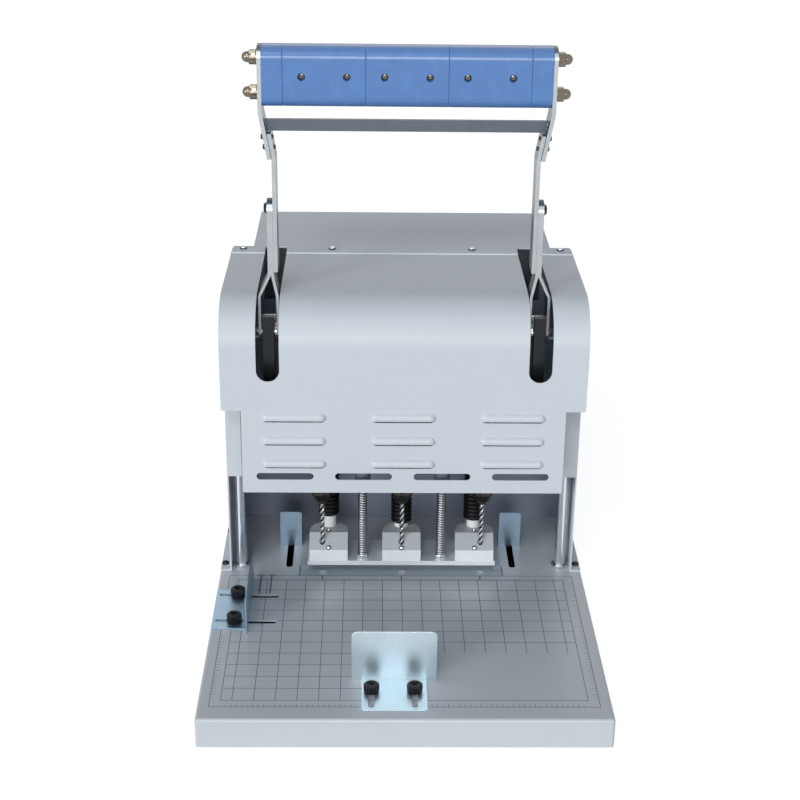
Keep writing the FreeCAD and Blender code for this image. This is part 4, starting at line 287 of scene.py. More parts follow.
def metal_group():
    """Worked metal: fine drawn lines one way, smudges and small scratches."""
    tree, start, end = new_tree(
        "WorkedMetal",
        "ShaderNodeTree",
        [
            ("Vector", "Vector", None),
            ("Colour", "Color", WHITE),
            ("Grain Stretch", "Vector", (1.0, 1.0, 1.0)),
            ("Grain Scale", "Float", 2200.0),
            ("Smudge", "Float", 0.12),
            ("Gloss", "Float", 0.25),
        ],
        SURFACE,
    )
    stretch = tree.nodes.new("ShaderNodeVectorMath")
    stretch.operation = "MULTIPLY"
    feed(tree, start.outputs["Vector"], stretch.inputs[0])
    feed(tree, start.outputs["Grain Stretch"], stretch.inputs[1])
    lines = noise(tree, stretch.outputs["Vector"], start.outputs["Grain Scale"], 3.0, 0.6)
    smudge = noise(tree, start.outputs["Vector"], 60.0, 5.0, 0.65)
    marks = noise(tree, start.outputs["Vector"], 900.0, 2.0, 0.5)
    dirt = swing(tree, smudge, start.outputs["Smudge"])
    streak = swing(tree, lines, 0.16)
    factor = maths(tree, "ADD", maths(tree, "ADD", dirt, streak), 1.0)
    feed(tree, shaded(tree, start.outputs["Colour"], factor), end.inputs["Colour"])
    rough = maths(tree, "ADD", maths(tree, "MULTIPLY", smudge, 0.12), start.outputs["Gloss"])
    spots = remap(tree, marks, 0.62, 0.75, 0.0, 0.12)
    feed(tree, maths(tree, "ADD", rough, spots, True), end.inputs["Roughness"])
    feed(tree, lines, end.inputs["Height"])
    return tree


def moulding_group():
    """Moulded plastic or rubber: spark grain, slight mottling and dust in the dull spots."""
    tree, start, end = new_tree(
        "Moulding",
        "ShaderNodeTree",
        [
            ("Vector", "Vector", None),
            ("Colour", "Color", WHITE),
            ("Dust Colour", "Color", WHITE),
            ("Grain Scale", "Float", 1800.0),
            ("Dust", "Float", 0.1),
            ("Gloss", "Float", 0.35),
        ],
        SURFACE,
    )
    vector = start.outputs["Vector"]
    grain = noise(tree, vector, start.outputs["Grain Scale"], 2.0, 0.6)
    mottle = noise(tree, vector, 90.0, 4.0, 0.6)
    factor = remap(tree, mottle, 0.3, 0.7, 0.93, 1.07)
    dusty = maths(tree, "MULTIPLY", remap(tree, mottle, 0.5, 0.8, 0.0, 1.0), start.outputs["Dust"])
    base = shaded(tree, start.outputs["Colour"], factor)
    feed(tree, mixed(tree, dusty, base, start.outputs["Dust Colour"]), end.inputs["Colour"])
    dull = maths(tree, "MULTIPLY", grain, 0.15)
    feed(tree, maths(tree, "ADD", start.outputs["Gloss"], dull, True), end.inputs["Roughness"])
    feed(tree, grain, end.inputs["Height"])
    return tree


PAINT = paint_group()
METAL = metal_group()
MOULDING = moulding_group()


def new_material(name):
    """A material with its node tree."""
    material = bpy.data.materials.new(name)
    material.use_nodes = True
    return material, material.node_tree


MATERIALS = {}


def surface(name, group, colour, relief, settings, shader=()):
    """A material whose colour, roughness and relief come from one of the shared groups."""
    material, tree = new_material(name)
    MATERIALS[name] = material
    principled = tree.nodes["Principled BSDF"]
    for label, value in shader:
        principled.inputs[label].default_value = value
    place = tree.nodes.new("ShaderNodeTexCoord")
    pattern = tree.nodes.new("ShaderNodeGroup")
    pattern.node_tree = group
    feed(tree, place.outputs["Object"], pattern.inputs["Vector"])
    pattern.inputs["Colour"].default_value = linear(*colour)
    for label, value in settings:
        pattern.inputs[label].default_value = value
    bump = tree.nodes.new("ShaderNodeBump")
    bump.inputs["Strength"].default_value = 1.0
    bump.inputs["Distance"].default_value = relief
    feed(tree, pattern.outputs["Height"], bump.inputs["Height"])
    feed(tree, pattern.outputs["Colour"], principled.inputs["Base Color"])
    feed(tree, pattern.outputs["Roughness"], principled.inputs["Roughness"])
    feed(tree, bump.outputs["Normal"], principled.inputs["Normal"])
    return material


def coat(weight, roughness):
    return [("Coat Weight", weight), ("Coat Roughness", roughness)]


def paint(name, colour, scuff, relief, gloss, cloud=0.04, shader=()):
    settings = [("Scuff Colour", linear(*scuff)), ("Gloss", gloss), ("Cloud", cloud)]
    return surface(name, PAINT, colour, relief, settings, shader)


def metal(name, colour, relief, gloss, smudge=0.12, stretch=(1, 1, 1), metallic=1.0, scale=2200):
    settings = [
        ("Gloss", gloss),
        ("Smudge", smudge),
        ("Grain Stretch", stretch),
        ("Grain Scale", scale),
    ]
    return surface(name, METAL, colour, relief, settings, [("Metallic", metallic)])


def moulding(name, colour, dusty, relief, gloss, dust=0.1, shader=()):
    settings = [("Dust Colour", linear(*dusty)), ("Gloss", gloss), ("Dust", dust)]
    return surface(name, MOULDING, colour, relief, settings, shader)


# Drawn lines in metal run along the axis with the small stretch.
ALONG_X = (0.05, 1.0, 1.0)
ALONG_Z = (1.0, 1.0, 0.05)
ALONG_BAR = (1.0, 1.0, 0.04)
TURNED = (0.2, 0.2, 1.0)

# The materials. A piece without one of its own takes the one that its slot names.
light_paint = paint("light_paint", (206, 214, 221), (190, 198, 206), 0.02 * MM, 0.42)
paint("base_paint", (201, 208, 214), (180, 188, 196), 0.015 * MM, 0.33, 0.06, coat(0.25, 0.16))
# dark_paint is the light paint made darker and bluer: painted shade for the back wall in the shadow
# under the cover. The carriage beam takes it too.
dark_paint = paint("dark_paint", (124, 132, 148), (160, 166, 176), 0.02 * MM, 0.4)
die_paint = paint("die_paint", (184, 196, 206), (206, 214, 220), 0.01 * MM, 0.3, 0.12)
printed_ink = paint("printed_ink", (92, 102, 122), (140, 150, 165), 0.005 * MM, 0.5, 0.2)

metal("zinc", (194, 209, 217), 0.004 * MM, 0.3, 0.2, ALONG_Z)
dull_zinc = metal("dull_zinc", (160, 184, 204), 0.006 * MM, 0.24, 0.35)
plate_zinc = metal("plate_zinc", (226, 234, 237), 0.006 * MM, 0.26, 0.2, ALONG_X, 0.35)
zinc_lug = metal("zinc_hardware", (200, 208, 212), 0.004 * MM, 0.2, 0.2)
arm_steel = metal("arm_steel", (94, 101, 109), 0.006 * MM, 0.26, 0.3, ALONG_BAR)
edge_steel = metal("edge_steel", (170, 175, 178), 0.006 * MM, 0.27, 0.3, ALONG_BAR)
spring_steel = metal("spring_steel", (196, 198, 202), 0.002 * MM, 0.06, 0.1)
cap_steel = metal("cap_steel", (124, 116, 104), 0.002 * MM, 0.05, 0.3)
flute_steel = metal("flute_steel", (52, 52, 54), 0.003 * MM, 0.2, 0.3)
bright_steel = metal("bright_steel", (222, 226, 230), 0.002 * MM, 0.06, 0.08, TURNED)
drill_steel = metal("drill_steel", (208, 210, 212), 0.003 * MM, 0.14, 0.3)
chuck_steel = metal("chuck_steel", (60, 57, 54), 0.003 * MM, 0.06, 0.3)
black_steel = metal("black_steel", (40, 41, 45), 0.004 * MM, 0.26, 0.4, metallic=0.6)
metal("cast_alloy", (150, 153, 158), 0.03 * MM, 0.38, 0.2, scale=900)
metal("bronze", (180, 140, 80), 0.01 * MM, 0.3)

moulding("blue_grip", (84, 130, 193), (110, 146, 196), 0.006 * MM, 0.24, 0.12, coat(0.3, 0.12))
black_plastic = moulding(
    "black_plastic",
    (15, 16, 20),
    (62, 64, 70),
    0.01 * MM,
    0.26,
    0.12,
    [("Specular IOR Level", 0.3)],
)
moulding("white_plastic", (226, 230, 232), (196, 200, 200), 0.006 * MM, 0.3, 0.25)
hood_plastic = moulding(
    "hood_plastic",
    (226, 232, 235),
    (200, 204, 206),
    0.006 * MM,
    0.26,
    0.3,
    coat(0.2, 0.15),
)
# A darker grey for the hoods' upward faces, painted shade, with the group's dust mottling.
hood_dust_and_shade = moulding("hood_dust_and_shade", (176, 184, 188), (150, 156, 160), 0.006 * MM, 0.34, 0.4)
black_rubber = moulding(
    "black_rubber",
    (9, 9, 12),
    (40, 40, 44),
    0.02 * MM,
    0.34,
    0.1,
    [("Specular IOR Level", 0.2)],
)
moulding("red_switch", (150, 26, 20), (170, 80, 70), 0.004 * MM, 0.2)

# Making pieces

REPLACED = set()


def linked(name, data):
    """A new object in the scene."""
    thing = bpy.data.objects.new(name, data)
    bpy.context.scene.collection.objects.link(thing)
    return thing


def piece(name, mesh, material, body, *nodes):
    """Puts a finished mesh in the scene as a named piece that rides on a body."""
    thing = linked(name, mesh)
    if material:
        mesh.materials.clear()
        mesh.materials.append(material)
    if body:
        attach(thing, body)
    if nodes:
        REPLACED.update(nodes)
        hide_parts(*nodes)
    return thing


def to_mesh(work, name="piece"):
    """A mesh from a bmesh, which is freed."""
    mesh = bpy.data.meshes.new(name)
    work.to_mesh(mesh)
    work.free()
    return mesh


def assembled(*coated):
    """One mesh from several, each given with its own material."""
    work = bmesh.new()
    for number, (mesh, _) in enumerate(coated):
        for polygon in mesh.polygons:
            polygon.material_index = number
        work.from_mesh(mesh)
    whole = to_mesh(work)
    for _, material in coated:
        whole.materials.append(material)
    return whole


def smooth(mesh, degrees=32):
    for polygon in mesh.polygons:
        polygon.use_smooth = True
    mesh.set_sharp_from_angle(angle=math.radians(degrees))


def merged_copy(node):
    """A copy of a CAD node's mesh with its triangles joined and its flats in one face."""
    mesh = frame["nodes"][node].data.copy()
    work = bmesh.new()
    work.from_mesh(mesh)
    bmesh.ops.remove_doubles(work, verts=work.verts, dist=MERGE)
    bmesh.ops.dissolve_limit(
        work,
        angle_limit=math.radians(0.4),
        verts=work.verts,
        edges=work.edges,
        delimit={"NORMAL"},
    )
    work.to_mesh(mesh)
    work.free()
    return mesh


def dressed(node, material=None, edge=SHEET_EDGE):
    """The CAD node with joined faces, eased edges and its own material."""
    mesh = merged_copy(node)
    smooth(mesh)
    material = material or MATERIALS[SLOT_OF[node]]
    thing = piece(node + "_finish", mesh, material, BODY_OF[node], node)
    if edge:
        ease = thing.modifiers.new("ease", "BEVEL")
        ease.width = edge
        ease.segments = 2
        ease.limit_method = "ANGLE"
        ease.angle_limit = math.radians(40)
        ease.use_clamp_overlap = True
    even = thing.modifiers.new("even", "WEIGHTED_NORMAL")
    even.keep_sharp = True
    return thing


def paint_faces(thing, material, chosen):
    """Gives the faces that chosen picks a second material."""
    thing.data.materials.append(material)
    number = len(thing.data.materials) - 1
    for polygon in thing.data.polygons:
        if chosen(polygon):
            polygon.material_index = number
    return number


def islands(node):
    """The box of each separate solid in a CAD node, with its vertices."""
    work = bmesh.new()
    work.from_mesh(frame["nodes"][node].data)
    bmesh.ops.remove_doubles(work, verts=work.verts, dist=MERGE)
    left = set(work.verts)
    found = []
    while left:
        stack = [left.pop()]
        points = []
        while stack:
            vertex = stack.pop()
            points.append(vertex.co.copy())
            for edge in vertex.link_edges:
                other = edge.other_vert(vertex)
                if other in left:
                    left.remove(other)
                    stack.append(other)
        low = Vector([min(p[i] for p in points) for i in range(3)])
        high = Vector([max(p[i] for p in points) for i in range(3)])
        found.append((low, high, points))
    work.free()
    return found


def lofted(rings, endless=False):
    """A solid through rings of points, with flat ends or with its last ring on its first."""
    work = bmesh.new()
    rows = [[work.verts.new(point) for point in points] for points in rings]
    if endless:
        rows.append(rows[0])
    count = len(rows[0])
    for lower, upper in zip(rows, rows[1:]):
        for i in range(count):
            j = (i + 1) % count
            work.faces.new((lower[i], lower[j], upper[j], upper[i]))
    if not endless:
        work.faces.new(list(reversed(rows[0])))
        work.faces.new(rows[-1])
    bmesh.ops.recalc_face_normals(work, faces=work.faces)
    return work


def finished(work, degrees=32):
    mesh = to_mesh(work)
    smooth(mesh, degrees)
    return mesh


def ring(centre, height, reach, sides):
    """Points round Z; reach is a radius or a function of the angle."""
    points = []
    for i in range(sides):
        angle = 2 * math.pi * i / sides
        radius = reach(angle) if callable(reach) else reach
        x = centre[0] + radius * math.cos(angle)
        y = centre[1] + radius * math.sin(angle)
        points.append(Vector((x, y, height)))
    return points


def turned(rows, sides, centre=(0, 0)):
    """A solid round Z through rows of height and reach."""
    return lofted([ring(centre, height, reach, sides) for height, reach in rows])


def upright(node):
    """The box of a round CAD node that stands up, its centre and its radius."""
    low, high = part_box(node)
    return low, high, ((low.x + high.x) / 2, (low.y + high.y) / 2), (high.x - low.x) / 2


def hexagon_reach(flats):
    """Reach of a hexagon that measures flats across."""

    def reach(angle):
        turn = (angle + math.pi / 6) % (math.pi / 3) - math.pi / 6
        return flats / 2 / math.cos(turn)

    return reach


def joined(works):
    """One bmesh from several."""
    whole = bmesh.new()
    for work in works:
        part = to_mesh(work, "part")
        whole.from_mesh(part)
        bpy.data.meshes.remove(part)
    return whole


# Geometry groups for what repeats


def geometry_tree(name, inputs):
    inputs = [("Points", "Geometry", None)] + inputs
    return new_tree(name, "GeometryNodeTree", inputs, [("Geometry", "Geometry")])


def close_tree(tree, instances, start, end):
    """Turns instances into one mesh with the group's material."""
    real = tree.nodes.new("GeometryNodeRealizeInstances")
    coat = tree.nodes.new("GeometryNodeSetMaterial")
    feed(tree, instances, real.inputs["Geometry"])
    feed(tree, real.outputs["Geometry"], coat.inputs["Geometry"])
    feed(tree, start.outputs["Material"], coat.inputs["Material"])
    feed(tree, coat.outputs["Geometry"], end.inputs["Geometry"])
    return tree


def coil_tree():
    """A round spring of even pitch, standing on each point."""
    tree, start, end = geometry_tree(
        "StandingCoil",
        [
            ("Turns", "Float", 10.0),
            ("Radius", "Float", 0.004),
            ("Wire", "Float", 0.001),
            ("Height", "Float", 0.05),
            ("Material", "Material", None),
        ],
    )
    spiral = tree.nodes.new("GeometryNodeCurveSpiral")
    spiral.inputs["Resolution"].default_value = 28
    feed(tree, start.outputs["Turns"], spiral.inputs["Rotations"])
    feed(tree, start.outputs["Radius"], spiral.inputs["Start Radius"])
    feed(tree, start.outputs["Radius"], spiral.inputs["End Radius"])
    feed(tree, start.outputs["Height"], spiral.inputs["Height"])
    circle = tree.nodes.new("GeometryNodeCurvePrimitiveCircle")
    circle.inputs["Resolution"].default_value = 12
    half = maths(tree, "MULTIPLY", start.outputs["Wire"], 0.5)
    feed(tree, half, circle.inputs["Radius"])
    sweep = tree.nodes.new("GeometryNodeCurveToMesh")
    sweep.inputs["Fill Caps"].default_value = True
    feed(tree, spiral.outputs["Curve"], sweep.inputs["Curve"])
    feed(tree, circle.outputs["Curve"], sweep.inputs["Profile Curve"])
    place = tree.nodes.new("GeometryNodeInstanceOnPoints")
    feed(tree, start.outputs["Points"], place.inputs["Points"])
    feed(tree, sweep.outputs["Mesh"], place.inputs["Instance"])
    return close_tree(tree, place.outputs["Instances"], start, end)


def stamp_tree():
    """A copy of a pattern object on each point, turned to its facing and scaled to its span."""
    tree, start, end = geometry_tree(
        "StampOnPoints",
        [("Pattern", "Object", None), ("Material", "Material", None)],
    )
    pattern = tree.nodes.new("GeometryNodeObjectInfo")
    feed(tree, start.outputs["Pattern"], pattern.inputs["Object"])

    def kept(label):
        node = tree.nodes.new("GeometryNodeInputNamedAttribute")
        node.data_type = "FLOAT_VECTOR"
        node.inputs["Name"].default_value = label
        return node.outputs["Attribute"]

    turn = tree.nodes.new("FunctionNodeAlignRotationToVector")
    turn.axis = "Z"
    feed(tree, kept("facing"), turn.inputs["Vector"])
    place = tree.nodes.new("GeometryNodeInstanceOnPoints")
    feed(tree, start.outputs["Points"], place.inputs["Points"])
    feed(tree, pattern.outputs["Geometry"], place.inputs["Instance"])
    feed(tree, turn.outputs["Rotation"], place.inputs["Rotation"])
    feed(tree, kept("span"), place.inputs["Scale"])
    return close_tree(tree, place.outputs["Instances"], start, end)


COIL = coil_tree()
STAMP = stamp_tree()


def grown(tree, points, values):
    """Runs a geometry group on points and returns the mesh that it makes."""
    seed = linked("seed", points)
    run = seed.modifiers.new("grow", "NODES")
    run.node_group = tree
    for item in tree.interface.items_tree:
        if item.item_type == "SOCKET" and item.in_out == "INPUT" and item.name in values:
            run[item.identifier] = values[item.name]
    seed.update_tag()
    bpy.context.view_layer.update()
    graph = bpy.context.evaluated_depsgraph_get()
    mesh = bpy.data.meshes.new_from_object(seed.evaluated_get(graph))
    bpy.data.objects.remove(seed)
    return mesh


def stamped(pattern_work, places, material):
    """Copies of a pattern at places given as point, facing and span."""
    pattern = linked("pattern", finished(pattern_work))
    points = bpy.data.meshes.new("places")
    points.from_pydata([place[0] for place in places], [], [])
    for number, name in ((1, "facing"), (2, "span")):
        attribute = points.attributes.new(name, "FLOAT_VECTOR", "POINT")
        for i, place in enumerate(places):
            attribute.data[i].vector = place[number]
    mesh = grown(STAMP, points, {"Pattern": pattern, "Material": material})
    bpy.data.objects.remove(pattern)
    return mesh


# The base's print


def free_spans(low, high, blocked):
    """What is left of a span once the blocked spans are taken out."""
    spans = [(low, high)]
    for start, stop in blocked:
        cut = []
        for a, b in spans:
            if stop <= a or start >= b:
                cut.append((a, b))
                continue
            if start > a:
                cut.append((a, start))
            if stop < b:
                cut.append((stop, b))
        spans = cut
    return spans


def ink_bar(work, x_low, x_high, y_low, y_high):
    """One thin bar of ink on the work surface."""
    corners = [
        (x, y, z)
        for z in (TOP, TOP + INK_HEIGHT)
        for x, y in ((x_low, y_low), (x_high, y_low), (x_high, y_high), (x_low, y_high))
    ]
    verts = [work.verts.new(corner) for corner in corners]
    for face in ((3, 2, 1, 0), (4, 5, 6, 7), (0, 1, 5, 4), (1, 2, 6, 5), (2, 3, 7, 6), (3, 0, 4, 7)):
        work.faces.new([verts[i] for i in face])


def tick_length(number):
    """Every second tick is a long one."""
    return TICK_LENGTH * (1.7 if number % 2 == 0 else 1.0)


def base_print():
    """The 20 mm grid, its two borders and the marks by the drills."""
    work = bmesh.new()
    half = LINE_WIDTH / 2
    slot_spans = [(y - GUIDE_SLOT_HALF, y + GUIDE_SLOT_HALF) for y in GUIDE_SLOT_Y]

    def across(y, x_low, x_high, width=LINE_WIDTH):
        blocked = [GUIDE_SLOT_X for low, high in slot_spans if low < y < high]
        for a, b in free_spans(x_low, x_high, blocked):
            ink_bar(work, a, b, y - width / 2, y + width / 2)

    def along(x, y_low, y_high, width=LINE_WIDTH):
        blocked = slot_spans if GUIDE_SLOT_X[0] < x < GUIDE_SLOT_X[1] else []
        for a, b in free_spans(y_low, y_high, blocked):
            ink_bar(work, x - width / 2, x + width / 2, a, b)

    for left, right, front, back in (INNER_BORDER, OUTER_BORDER):
        across(front, left - half, right + half)
        across(back, left - half, right + half)
        along(left, front + half, back - half)
        along(right, front + half, back - half)
    left, right, front, back = INNER_BORDER
    for column in range(-GRID_HALF, GRID_HALF + 1):
        x = column * GRID_STEP
        low = LABEL_BACK + half if x > LABEL_LEFT else front + half
        along(x, low, back - half)
    for row in range(GRID_ROWS):
        y = GRID_BACK - row * GRID_STEP
        limit = LABEL_LEFT if y < LABEL_BACK - half else right
        across(y, left + half, limit)
    for x in PAIR_MARK_X:
        along(x, *PAIR_MARK_Y, 1.5 * MM)
        across(PAIR_BAR_Y, x - PAIR_BAR_HALF, x + PAIR_BAR_HALF, 1.6 * MM)
    for x in (-STOP_MARK_X, STOP_MARK_X):
        along(x, *STOP_MARK_Y, 1.2 * MM)
    for side in STATIONS:
        along(upright("chuck_" + side)[2][0], *DRILL_MARK_Y, 1.3 * MM)
    piece("base_print", finished(work), printed_ink, "root")


def ruler_ticks():
    """Short lines inside the outer border, left out where the side guide covers them."""
    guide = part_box("side_guide_bracket")
    tick = bmesh.new()
    bmesh.ops.create_cube(tick, size=1.0)
    places = []
    half = LINE_WIDTH / 2
    height = TOP + INK_HEIGHT / 2
    inner_left, inner_right, inner_front, inner_back = INNER_BORDER
    left, right, front = OUTER_BORDER[:3]
    for number in range(1, int((inner_right - inner_left) / TICK_STEP)):
        x = TICK_START + number * TICK_STEP
        length = tick_length(number)
        centre = (x, front + length / 2 + half, height)
        places.append((centre, (0, 0, 1), (TICK_WIDTH, length, INK_HEIGHT)))
    for number in range(1, int((inner_back - inner_front) / TICK_STEP)):
        y = GRID_BACK - number * TICK_STEP
        length = tick_length(number)
        for edge, sign in ((right, -1), (left, 1)):
            if sign > 0 and guide[0].y < y < guide[1].y:
                continue
            centre = (edge + sign * (length / 2 + half), y, height)
            places.append((centre, (0, 0, 1), (length, TICK_WIDTH, INK_HEIGHT)))
    piece("ruler_ticks", stamped(tick, places, printed_ink), None, "root")


# Springs, hoses, bits, chucks and knobs


def presser_springs():
    low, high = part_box("presser_springs")
    radius = (min(high.y - low.y, SPRING_WIDTH) - SPRING_WIRE) / 2
    middle_y = (low.y + high.y) / 2
    reach = high.x - radius - SPRING_WIRE / 2
    start = low.z + SPRING_WIRE / 2
    points = bpy.data.meshes.new("feet")
    points.from_pydata([(-reach, middle_y, start), (reach, middle_y, start)], [], [])
    mesh = grown(
        COIL,
        points,
        {
            "Turns": float(SPRING_TURNS),
            "Radius": radius,
            "Wire": SPRING_WIRE,
            "Height": high.z - low.z - SPRING_WIRE,
            "Material": spring_steel,
        },
    )
    for polygon in mesh.polygons:
        polygon.use_smooth = True
    springs = piece("presser_springs_finish", mesh, None, "presser", "presser_springs")
    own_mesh(springs)


def hose_point(distance, rise):
    """Place and direction along a hose that rises, bends back and runs level."""
    quarter = HOSE_BEND * math.pi / 2
    if distance <= rise:
        return Vector((0, 0, distance)), Vector((0, 0, 1))
    if distance <= rise + quarter:
        angle = (distance - rise) / HOSE_BEND
        spot = Vector((0, HOSE_BEND * (1 - math.cos(angle)), rise + HOSE_BEND * math.sin(angle)))
        return spot, Vector((0, math.sin(angle), math.cos(angle)))
    level = distance - rise - quarter
    return Vector((0, HOSE_BEND + level, rise + HOSE_BEND)), Vector((0, 1, 0))


def suction_hoses():
    low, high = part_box("suction_hoses")
    reach = high.x - HOSE_RADIUS
    start_y = low.y + HOSE_RADIUS
    sides = 40
    rings_per_rib = 8
    bore_rings = 40
    works = []
    for station, pushed in HOSE_PUSHED_ON.items():
        origin = Vector((station * reach, start_y, low.z - pushed))
        rise = HOSE_RISE + pushed
        length = rise + HOSE_BEND * math.pi / 2 + high.y - start_y - HOSE_BEND
        ribs = int(length / RIB_PITCH)
        pitch = length / ribs
        rings = []

        def add(distance, radius):
            spot, way = hose_point(distance, rise)
            up = way.cross(Vector((1, 0, 0)))
            rings.append(
                [
                    origin
                    + spot
                    + Vector((1, 0, 0)) * (radius * math.cos(2 * math.pi * i / sides))
                    + up * (radius * math.sin(2 * math.pi * i / sides))
                    for i in range(sides)
                ]
            )

        for number in range(ribs * rings_per_rib + 1):
            distance = pitch * number / rings_per_rib
            wave = 0.5 - 0.5 * math.cos(2 * math.pi * number / rings_per_rib)
            crest = wave ** 0.6
            add(distance, HOSE_GROOVE + (HOSE_RADIUS - HOSE_GROOVE) * crest)
        for number in range(bore_rings, -1, -1):
            add(length * number / bore_rings, HOSE_BORE)
        works.append(lofted(rings, endless=True))
    mesh = finished(joined(works), 60)
    hoses = piece("suction_hoses_finish", mesh, black_rubber, None, "suction_hoses")
    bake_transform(hoses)


def twist_drills():
    """Two-flute drills with a land, a backed-off lip and a ground point."""
    for side in STATIONS:
        node = "drill_bit_" + side
        low, high, centre, radius = upright(node)
        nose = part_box("chuck_" + side)[0].z

        def flute(turn):
            def reach(angle):
                local = (angle - turn) % math.pi
                if local < LAND_SHARE * math.pi:
                    return radius
                if local < 0.5 * math.pi:
                    return radius * BACKED_OFF
                depth = math.sin((local - 0.5 * math.pi) / 0.5)
                return radius * (BACKED_OFF - FLUTE_DEPTH * max(0.0, depth))

            return reach

        rows = [(low.z, 0.06 * radius)]
        steps = 120
        start = low.z + radius * BIT_POINT
        for number in range(steps + 1):
            height = start + (nose - start) * number / steps
            turn = 2 * math.pi * (height - low.z) / BIT_TWIST
            rows.append((height, flute(turn)))
        rows += [(nose + 0.5 * MM, radius), (high.z, radius)]
        mesh = finished(turned(rows, 36, centre), 40)
        thing = piece(node + "_finish", mesh, drill_steel, BODY_OF[node], node)

        def in_flute(polygon):
            spot = polygon.center
            angle = math.atan2(spot.y - centre[1], spot.x - centre[0])
            turn = 2 * math.pi * (spot.z - low.z) / BIT_TWIST
            return start < spot.z < nose and (angle - turn) % math.pi > 0.5 * math.pi

        paint_faces(thing, flute_steel, in_flute)


def chucks():
    """Tapered three-jaw chucks with a knurled sleeve."""
    for side in STATIONS:
        node = "chuck_" + side
        low, high, centre, radius = upright(node)
        nose = CHUCK_BORE + 1.15 * MM

        def jaws(reach):
            def shape(angle):
                turn = angle % (2 * math.pi / 3)
                return reach - 0.8 * MM if abs(turn - math.pi / 3) < JAW_GAP / reach / 2 else reach

            return shape

        def knurl(angle):
            return radius - 0.35 * MM * (0.5 + 0.5 * math.cos(36 * angle))

        shoulder = low.z + CHUCK_TAPER
        profile = [
            (low.z + 4 * MM, CHUCK_BORE),
            (low.z, CHUCK_BORE),
            (low.z, jaws(nose)),
            (low.z + 0.6 * MM, jaws(nose + 0.6 * MM)),
            (low.z + 5 * MM, jaws(nose + 3.6 * MM)),
            (low.z + 6 * MM, nose + 3.6 * MM),
            (low.z + 6.2 * MM, nose + 4.8 * MM),
            (shoulder - 1 * MM, radius - 0.7 * MM),
            (shoulder, radius - 0.1 * MM),
            (shoulder + 0.8 * MM, radius),
            (shoulder + 2 * MM, radius),
            (shoulder + 2.6 * MM, knurl),
            (shoulder + 13 * MM, knurl),
            (shoulder + 13.6 * MM, radius),
            (shoulder + 14.6 * MM, radius),
            (shoulder + 15 * MM, radius - 1.2 * MM),
            (high.z - 1 * MM, radius - 1.2 * MM),
            (high.z, radius - 2 * MM),
        ]
        mesh = finished(turned(profile, 72, centre), 30)
        thing = piece(node + "_finish", mesh, chuck_steel, BODY_OF[node], node)
        paint_faces(thing, drill_steel, lambda polygon: polygon.center.z < low.z + 0.5 * MM)


def knurled_knobs():
    """Black thumb knobs with a bright socket screw sunk in the top."""
    for node in KNOBS:
        low, high, centre, radius = upright(node)
        bottom = TOP + KNOB_FOOT
        stud = 2.5 * MM
        sides = 110
        neck = radius - 0.9 * MM

        def flutes(depth):
            def reach(angle):
                return radius - depth * (0.5 + 0.5 * math.cos(KNOB_FLUTES * angle)) ** 2

            return reach

        body = [
            (bottom, neck),
            (bottom + 0.4 * MM, radius - 0.3 * MM),
            (bottom + 1.0 * MM, radius - 0.3 * MM),
            (bottom + 1.2 * MM, neck),
            (bottom + 1.6 * MM, neck),
            (bottom + 2.0 * MM, flutes(0.8 * MM)),
            (high.z - 1.2 * MM, flutes(0.8 * MM)),
            (high.z - 0.4 * MM, radius - 1.0 * MM),
            (high.z, radius - 1.8 * MM),
            (high.z, 4.4 * MM),
            (high.z - 0.5 * MM, 4.1 * MM),
            (high.z - 2.2 * MM, 4.1 * MM),
        ]
        shell = turned(body, sides, centre)
        screw = [
            (low.z, stud),
            (high.z - 2.4 * MM, stud),
            (high.z - 2.4 * MM, 3.9 * MM),
            (high.z - 1.4 * MM, 3.9 * MM),
            (high.z - 1.1 * MM, 3.6 * MM),
            (high.z - 1.1 * MM, hexagon_reach(4.2 * MM)),
            (high.z - SOCKET_DEPTH, hexagon_reach(4.0 * MM)),
        ]
        core = turned(screw, sides, centre)
        mesh = assembled((finished(shell, 30), black_plastic), (finished(core, 30), black_steel))
        piece(node + "_finish", mesh, None, BODY_OF[node], node)


def cross_reach(arm, width):
    """Reach of a cross-shaped recess."""

    def reach(angle):
        turn = (angle + math.pi / 4) % (math.pi / 2) - math.pi / 4
        straight = arm / math.cos(turn)
        if abs(arm * math.tan(turn)) <= width / 2:
            return straight
        return width / 2 / abs(math.sin(turn))

    return reach


def screw_pattern(size=1.0, seat=0.0):
    """A pan-head screw that faces up, with a cross recess and a head of radius size."""
    rows = [(-1.6, 0.5), (seat, 0.5)]
    for height, reach in ((0.0, 0.97), (0.1, 1.0), (0.3, 0.96), (0.45, 0.84), (0.54, 0.68)):
        rows.append((seat + size * height, size * reach))
    rows.append((seat + size * HEAD_RISE, cross_reach(size * 0.55, size * 0.24)))
    rows.append((seat + size * 0.2, cross_reach(size * 0.4, size * 0.16)))
    return turned(rows, 48)


def washer_pattern():
    """A plain washer of unit radius, facing up."""
    rows = ((0.0, 0.5), (0.0, 0.97), (0.05, 1.0), (0.16, 1.0), (0.2, 0.96), (0.2, 0.5))
    return turned(rows, 48)


def nut_pattern():
    """A chamfered hexagon nut of unit half width over the corners, facing up."""
    flats = math.sqrt(3)
    rows = (
        (0.0, 0.5),
        (0.0, 0.86),
        (0.1, hexagon_reach(flats)),
        (0.8, hexagon_reach(flats)),
        (NUT_RISE, 0.84),
        (NUT_RISE, 0.5),
    )
    return turned(rows, 60)


